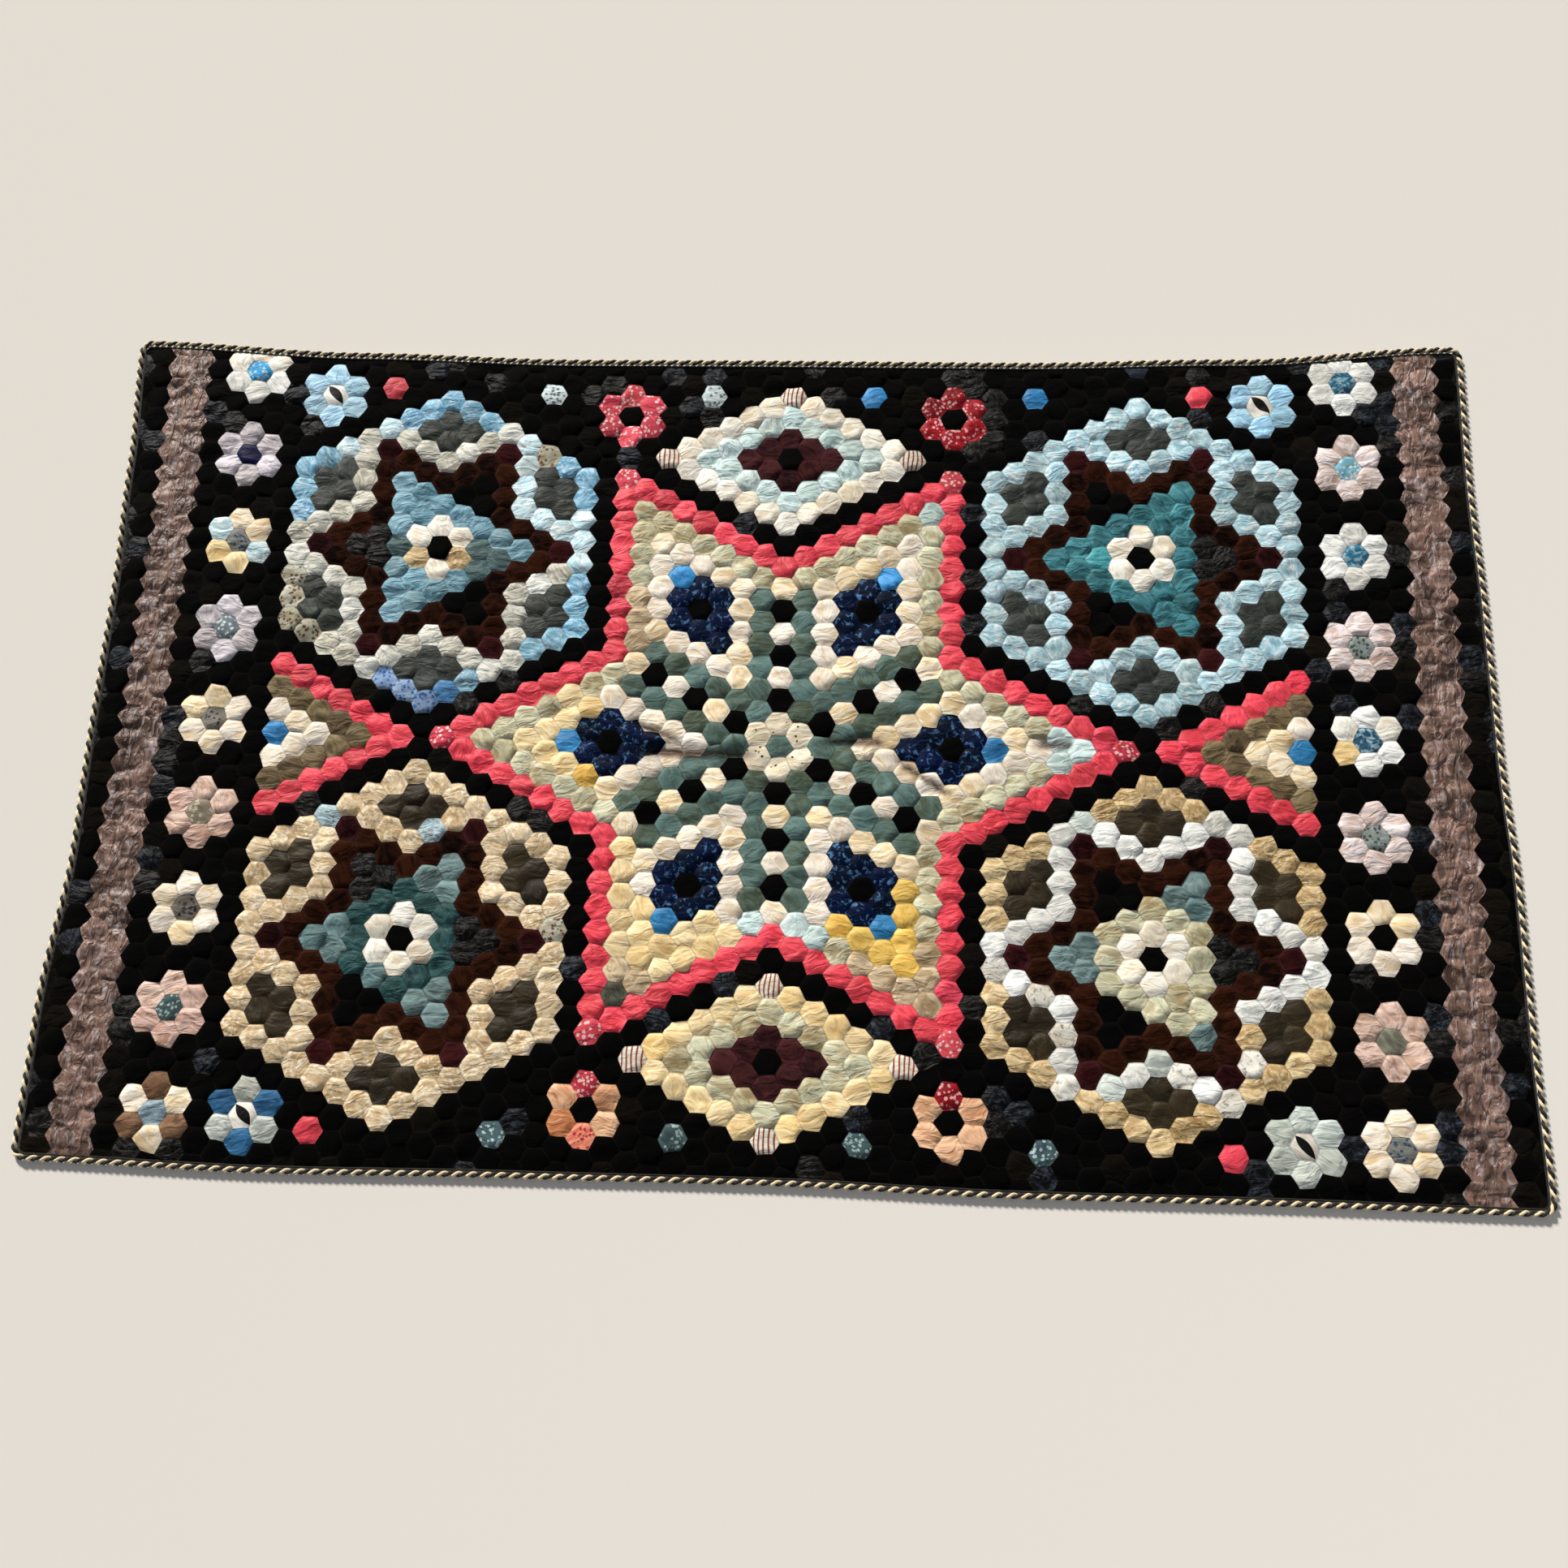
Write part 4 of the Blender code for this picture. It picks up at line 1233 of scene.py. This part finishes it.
def paint_cloth(name, recipe, main, second, third, wrinkle, _crown):
    """Makes one cloth's material from its line in the table of cloths."""
    material = bpy.data.materials.new(name)
    material.use_nodes = True
    tree = material.node_tree
    shader = tree.nodes["Principled BSDF"].inputs
    velvet = recipe == "velvet"
    light = sum(linear(main)[:3]) > LEAST_LIGHT
    warm = linear(main)[0] > LEAST_WARMTH * linear(main)[2]
    tone = "dark" if not light else "warm" if warm else "cool"

    maps = read_maps(tree, recipe == "crumpled")
    stitch = stitches(tree, maps)
    colour = dyed(tree, maps, recipe, main, second, third)
    colour = aged_and_shaded(tree, maps, colour, tone, wrinkle)
    colour = seamed(tree, maps, colour, recipe, tone, main, third, stitch)
    tree.links.new(colour, shader["Base Color"])

    warp, weft = weave(tree, maps["cloth"], WEAVE_PITCH, 0.6)
    layers = [(maps["folds"], -wrinkle * FOLD_BUMP * MM), (maps["own_folds"], wrinkle * OWN_FOLD_BUMP * MM),
              (warp, WEAVE_BUMP), (weft, WEAVE_BUMP), (stitch, STITCH_BUMP)]
    if velvet:
        pile = add(tree, "ShaderNodeTexNoise", {"Vector": maps["cloth"], "Scale": 1 / PILE_PITCH,
                   "Detail": 2.0})
        layers.append((pile, PILE_BUMP))
    tree.links.new(raised(tree, layers), shader["Normal"])

    light_silk = light and recipe in ("silk", "marbled")
    shader["Roughness"].default_value = ROUGHNESS.get(recipe, PLAIN_ROUGHNESS)
    shader["Specular IOR Level"].default_value = (
        LIGHT_SILK_GLOSS if light_silk else GLOSS.get(recipe, PLAIN_GLOSS))
    velvet_sheen = RUBBED_SHEEN if third else BLACK_SHEEN
    shader["Sheen Weight"].default_value = velvet_sheen if velvet else PLAIN_SHEEN
    shader["Sheen Roughness"].default_value = SHEEN_ROUGHNESS
    if velvet and third:
        shader["Sheen Tint"].default_value = linear(third)
    return material


MATERIALS = {name: paint_cloth(name, *facts) for name, facts in CLOTHS.items()}
print(len(MATERIALS), "cloth materials")

# %% [markdown]
# ## The pieces of the top
# The patches of one motif are joined into one mesh, straight from the arrays. A face is kept where
# at least one of its points lies inside the hem, and faces that the tucking has squeezed to
# nothing are dropped. Points on shared seams are one point, so the seams are closed. Copying the
# template with operators would do the same, but would take far longer for so many patches.

# %% Joined meshes
# Twice the area of the smallest face that is kept, in square metres.
LEAST_FACE = 2e-8


def join_patches(name, chosen):
    """Makes one mesh of the chosen patches, with its two maps, its shades and its cloths."""
    corners = WELDED[chosen][:, TEMPLATE_FACES]
    xyz = points[chosen][:, TEMPLATE_FACES]
    some_inside = (inside[chosen][:, TEMPLATE_FACES] > 0).any(axis=-1)
    spans = np.cross(xyz[:, :, 1] - xyz[:, :, 0], xyz[:, :, 2] - xyz[:, :, 0])
    kept = some_inside & (np.linalg.norm(spans, axis=-1) > LEAST_FACE)
    used, faces = np.unique(corners[kept], return_inverse=True)
    faces = faces.reshape(-1, 3)
    places, lines = np.zeros((len(used), 3)), np.zeros(len(used))
    places[faces.ravel()] = xyz[kept].reshape(-1, 3)
    lines[faces.ravel()] = creased[chosen][:, TEMPLATE_FACES][kept].ravel()

    mesh = bpy.data.meshes.new(name)
    mesh.vertices.add(len(used))
    mesh.vertices.foreach_set("co", places.ravel())
    mesh.loops.add(faces.size)
    mesh.loops.foreach_set("vertex_index", faces.ravel().astype(np.int32))
    mesh.polygons.add(len(faces))
    mesh.polygons.foreach_set("loop_start", np.arange(0, faces.size, 3, dtype=np.int32))
    mesh.update(calc_edges=True)
    mesh.polygons.foreach_set("use_smooth", np.ones(len(faces), bool))

    cloths, cloth_index = np.unique(PATCH_CLOTHS[chosen], return_inverse=True)
    for cloth in cloths:
        mesh.materials.append(MATERIALS[cloth])
    patch_of_face = np.nonzero(kept)[0]
    mesh.polygons.foreach_set("material_index", cloth_index[patch_of_face].astype(np.int32))
    mesh.uv_layers.new(name="cloth").data.foreach_set(
        "uv", cloth_uv[chosen][:, TEMPLATE_FACES][kept].astype(np.float32).ravel())
    every_seam = np.broadcast_to(seam_uv, (len(chosen), *seam_uv.shape))
    mesh.uv_layers.new(name="seam").data.foreach_set("uv", every_seam[kept].astype(np.float32).ravel())
    mesh.attributes.new("shade", "FLOAT", "FACE").data.foreach_set(
        "value", shades[chosen][patch_of_face].astype(np.float32))
    mesh.attributes.new("creased", "FLOAT", "POINT").data.foreach_set("value", lines.astype(np.float32))
    mesh.validate()
    mesh.update()
    print(f"{name}: {len(faces)} faces, {len(cloths)} cloths")
    return link_object(name, mesh)


PATCH_PIECES = [join_patches(str(motif), np.nonzero(MOTIFS == motif)[0]) for motif in np.unique(MOTIFS)]
print(len(PATCH_PIECES), "pieces of patchwork")

# %% [markdown]
# ## Edges
# A roll of the lining and a cord both run once round the hem, so both need its path: a rectangle
# with round corners, laid on the uneven cloth and stepped evenly. A roll and a strand are swept
# along it as a curve with a round bevel, which is the easiest way to sweep a section along a path.

# %% The hem's path
QUARTER_STEPS = 10
HEM_STEP = 4 * MM


def evenly(loop, step):
    """Points about a step apart along a closed line."""
    closed = np.concatenate((loop, loop[:1]))
    run = np.concatenate(((0,), np.linalg.norm(np.diff(closed, axis=0), axis=1).cumsum()))
    count = max(8, round(run[-1] / step))
    at = np.arange(count) * run[-1] / count
    return np.stack([np.interp(at, run, closed[:, axis]) for axis in (0, 1)], axis=-1)


def hem_loop(outset, step):
    """The hem's line, counter-clockwise, moved outwards by an outset."""
    quarter = np.radians(np.linspace(0, 90, QUARTER_STEPS))
    loop = []
    for turn, (side_x, side_y) in enumerate(((1, 1), (-1, 1), (-1, -1), (1, -1))):
        angles = quarter + turn * math.pi / 2
        loop.append(np.stack((side_x * (HALF_LENGTH - CORNER_RADIUS) + CORNER_RADIUS * np.cos(angles),
                              side_y * (HALF_WIDTH - CORNER_RADIUS) + CORNER_RADIUS * np.sin(angles)), -1))
    loop = lie(evenly(np.concatenate(loop), step))
    run = np.roll(loop, -1, axis=0) - np.roll(loop, 1, axis=0)
    run /= np.linalg.norm(run, axis=1)[:, None]
    return loop + outset * np.stack((run[:, 1], -run[:, 0]), axis=-1)


hem_length = np.linalg.norm(np.diff(hem_loop(0, HEM_STEP), axis=0), axis=1).sum()
print(f"the hem is {hem_length:.2f} m long")


# %% Sweeping a section
def sweep(name, line, radius, sides, material):
    """Sweeps a round section along a closed line and makes it a mesh."""
    curve = bpy.data.curves.new(name, "CURVE")
    curve.dimensions = "3D"
    curve.bevel_depth = radius
    curve.bevel_resolution = (sides - 4) // 2
    spline = curve.splines.new("POLY")
    spline.points.add(len(line) - 1)
    spline.points.foreach_set("co", np.concatenate((line, np.ones((len(line), 1))), axis=1).ravel())
    spline.use_cyclic_u = True
    swept = bpy.data.objects.new(name, curve)
    bpy.context.scene.collection.objects.link(swept)
    bpy.context.view_layer.update()
    graph = bpy.context.evaluated_depsgraph_get()
    mesh = bpy.data.meshes.new_from_object(swept.evaluated_get(graph))
    bpy.data.objects.remove(swept)
    bpy.data.curves.remove(curve)
    mesh.name = name
    mesh.materials.clear()
    mesh.materials.append(material)
    mesh.polygons.foreach_set("use_smooth", np.ones(len(mesh.polygons), bool))
    print(f"{name}: {len(mesh.polygons)} faces, maps {[layer.name for layer in mesh.uv_layers]}")
    return link_object(name, mesh)


print("a section can be swept along any closed line")

# %% [markdown]
# ## Cotton for the lining and the cord
# The lining is a plain woven black cotton, and the cord is spun cotton, twisted from black and from
# cream yarn. Both are matt and only a little uneven in colour, which to the eye is a dry, even
# surface beside the silks. Real threads of 0.3 mm are too fine to show, so they are drawn at 1 mm.
# Nothing turns with a patch here, so Object coordinates are enough.

# %% Cotton paint
THREAD_PITCH = 1.0 * MM
COTTON_MOTTLE = 22 * MM
COTTON_SHEEN = 0.05


def paint_cotton(name, main, second, thread_bump, roughness):
    """A plain woven or twisted cotton."""
    material = bpy.data.materials.new(name)
    material.use_nodes = True
    tree = material.node_tree
    shader = tree.nodes["Principled BSDF"].inputs
    place = add(tree, "ShaderNodeTexCoord", output="Object")
    mottle = add(tree, "ShaderNodeTexNoise", {"Vector": place, "Scale": 1 / COTTON_MOTTLE, "Detail": 4.0})
    colour = add(tree, "ShaderNodeMix", {SHARE: mottle, FIRST: main, SECOND: second}, MIXED,
                 data_type="RGBA")
    tree.links.new(colour, shader["Base Color"])
    weft, warp = weave(tree, place, THREAD_PITCH, 0.8)
    tree.links.new(raised(tree, [(warp, thread_bump), (weft, thread_bump)]), shader["Normal"])
    shader["Roughness"].default_value = roughness
    shader["Sheen Weight"].default_value = COTTON_SHEEN
    return material


lining_cotton = paint_cotton("black_cotton_lining", "161412", "22201D", 0.03 * MM, 0.85)
black_cord = paint_cotton("black_twisted_cotton", "060606", "0E0D0C", 0.06 * MM, 0.8)
cream_cord = paint_cotton("cream_twisted_cotton", "EADBB8", "CDB98F", 0.06 * MM, 0.7)
print("cottons:", [cotton.name for cotton in (lining_cotton, black_cord, cream_cord)])

# %% [markdown]
# ## The lining and its rolled edge
# Under the patches lies the lining, a plain black cotton that was brought round to the front as a
# thin roll along the hem. A flat plate would do from above, but the real lining follows the swells
# and the creases of the top. So it is a grid laid by the same functions as the patches, a little
# lower than they are, with its rim drawn down to the floor and closed below.

# %% Lining
LINING_DEPTH = 3.3 * MM
LINING_LEAST = 0.5 * MM
ROLL_RADIUS = 1.3 * MM
LINING_CELLS = (128, 80)
LINING_CORNER_STEPS = 4
ROLL_SIDES = 10

bm = bmesh.new()
bmesh.ops.create_grid(bm, x_segments=LINING_CELLS[0], y_segments=LINING_CELLS[1], size=1.0)
corner_verts = [vert for vert in bm.verts if len(vert.link_edges) == 2]
bmesh.ops.scale(bm, vec=(HALF_LENGTH, HALF_WIDTH, 1), verts=bm.verts)
bmesh.ops.bevel(bm, geom=corner_verts, offset=CORNER_RADIUS, segments=LINING_CORNER_STEPS,
                affect="VERTICES", profile=0.5, material=-1)
flat_points = np.array([vert.co[:2] for vert in bm.verts])
lining_points, lining_inside = tuck_at_hem(lie(flat_points), ROLL_RADIUS)
lining_top = np.maximum(hem_height(lining_points, lining_inside) - LINING_DEPTH, LINING_LEAST)
for vert, (x, y), z in zip(bm.verts, lining_points, lining_top):
    vert.co = (x, y, z)
rim = [edge for edge in bm.edges if edge.is_boundary]
grown = bmesh.ops.extrude_edge_only(bm, edges=rim)["geom"]
for vert in grown:
    if isinstance(vert, bmesh.types.BMVert):
        vert.co.z = 0
bmesh.ops.contextual_create(bm, geom=[edge for edge in grown if isinstance(edge, bmesh.types.BMEdge)
                                      and edge.is_boundary])
bmesh.ops.recalc_face_normals(bm, faces=bm.faces[:])
lining_mesh = bpy.data.meshes.new("quilt_lining")
bm.to_mesh(lining_mesh)
bm.free()
lining_mesh.materials.append(lining_cotton)
lining = link_object("quilt_lining", lining_mesh)
print(f"lining: {len(lining_mesh.polygons)} faces")

# %% Rolled edge
roll_line = hem_loop(-ROLL_RADIUS, HEM_STEP)
roll_line = np.concatenate((roll_line, np.full((len(roll_line), 1), ROLL_RADIUS)), axis=1)
rolled_edge = sweep("rolled_edge", roll_line, ROLL_RADIUS, ROLL_SIDES, lining_cotton)
print(f"the roll is {2 * ROLL_RADIUS / MM:.1f} mm thick")

# %% [markdown]
# ## The two-colour cord
# The cord is two strands, one black and one cream, laid up with a full turn every 15 mm. From
# above, the cream shows as a slanted bead between black ones. Each strand is a curve that winds
# round the hem's path: the path gives the middle, and the sideways and upward directions give the
# turn. The lay is trimmed a little so that the last turn meets the first.

# %% Strands
LAY = 15 * MM
STRAND_RADIUS = 1.68 * MM
STRAND_REACH = CORD_DIAMETER / 2 - STRAND_RADIUS
STRAND_SIDES = 8
STEPS_PER_LAY = 12
CORD_STEP = 3 * MM


def strand(name, start_turn, material):
    """One strand that winds round the cord's middle and ends where it began."""
    path = hem_loop(CORD_DIAMETER / 2 + CORD_GAP, CORD_STEP)
    path = evenly(path, LAY / STEPS_PER_LAY)
    lays = round(len(path) / STEPS_PER_LAY)
    path = evenly(path, np.linalg.norm(np.diff(path, axis=0), axis=1).mean() * len(path)
                  / (lays * STEPS_PER_LAY))
    run = np.roll(path, -1, axis=0) - np.roll(path, 1, axis=0)
    run /= np.linalg.norm(run, axis=1)[:, None]
    turn = 2 * math.pi * np.arange(len(path)) * lays / len(path) + start_turn
    sideways = STRAND_REACH * np.cos(turn)
    upwards = CORD_LIFT + CORD_DIAMETER / 2 + STRAND_REACH * np.sin(turn)
    line = np.stack((path[:, 0] + sideways * run[:, 1], path[:, 1] - sideways * run[:, 0], upwards), -1)
    return sweep(name, line, STRAND_RADIUS, STRAND_SIDES, material)


black_strand = strand("black_cord_strand", 0.0, black_cord)
cream_strand = strand("cream_cord_strand", math.pi, cream_cord)
print(f"the cord is {CORD_DIAMETER / MM:.1f} mm thick, with a full turn every {LAY / MM:.0f} mm")

# %% [markdown]
# ## Riding on the body
# Every piece rides on the imported body, and the two imported solids step aside for the cloth and the cord.

# %% Riding on the body
BODY = sorted(frame["bodies"])[0]
cloth_pieces = PATCH_PIECES + [rolled_edge]
cord_pieces = [black_strand, cream_strand]
for piece in [lining] + cloth_pieces + cord_pieces:
    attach(piece, BODY)
for piece in cord_pieces:
    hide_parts("edging_cord")
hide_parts("quilt_cloth")
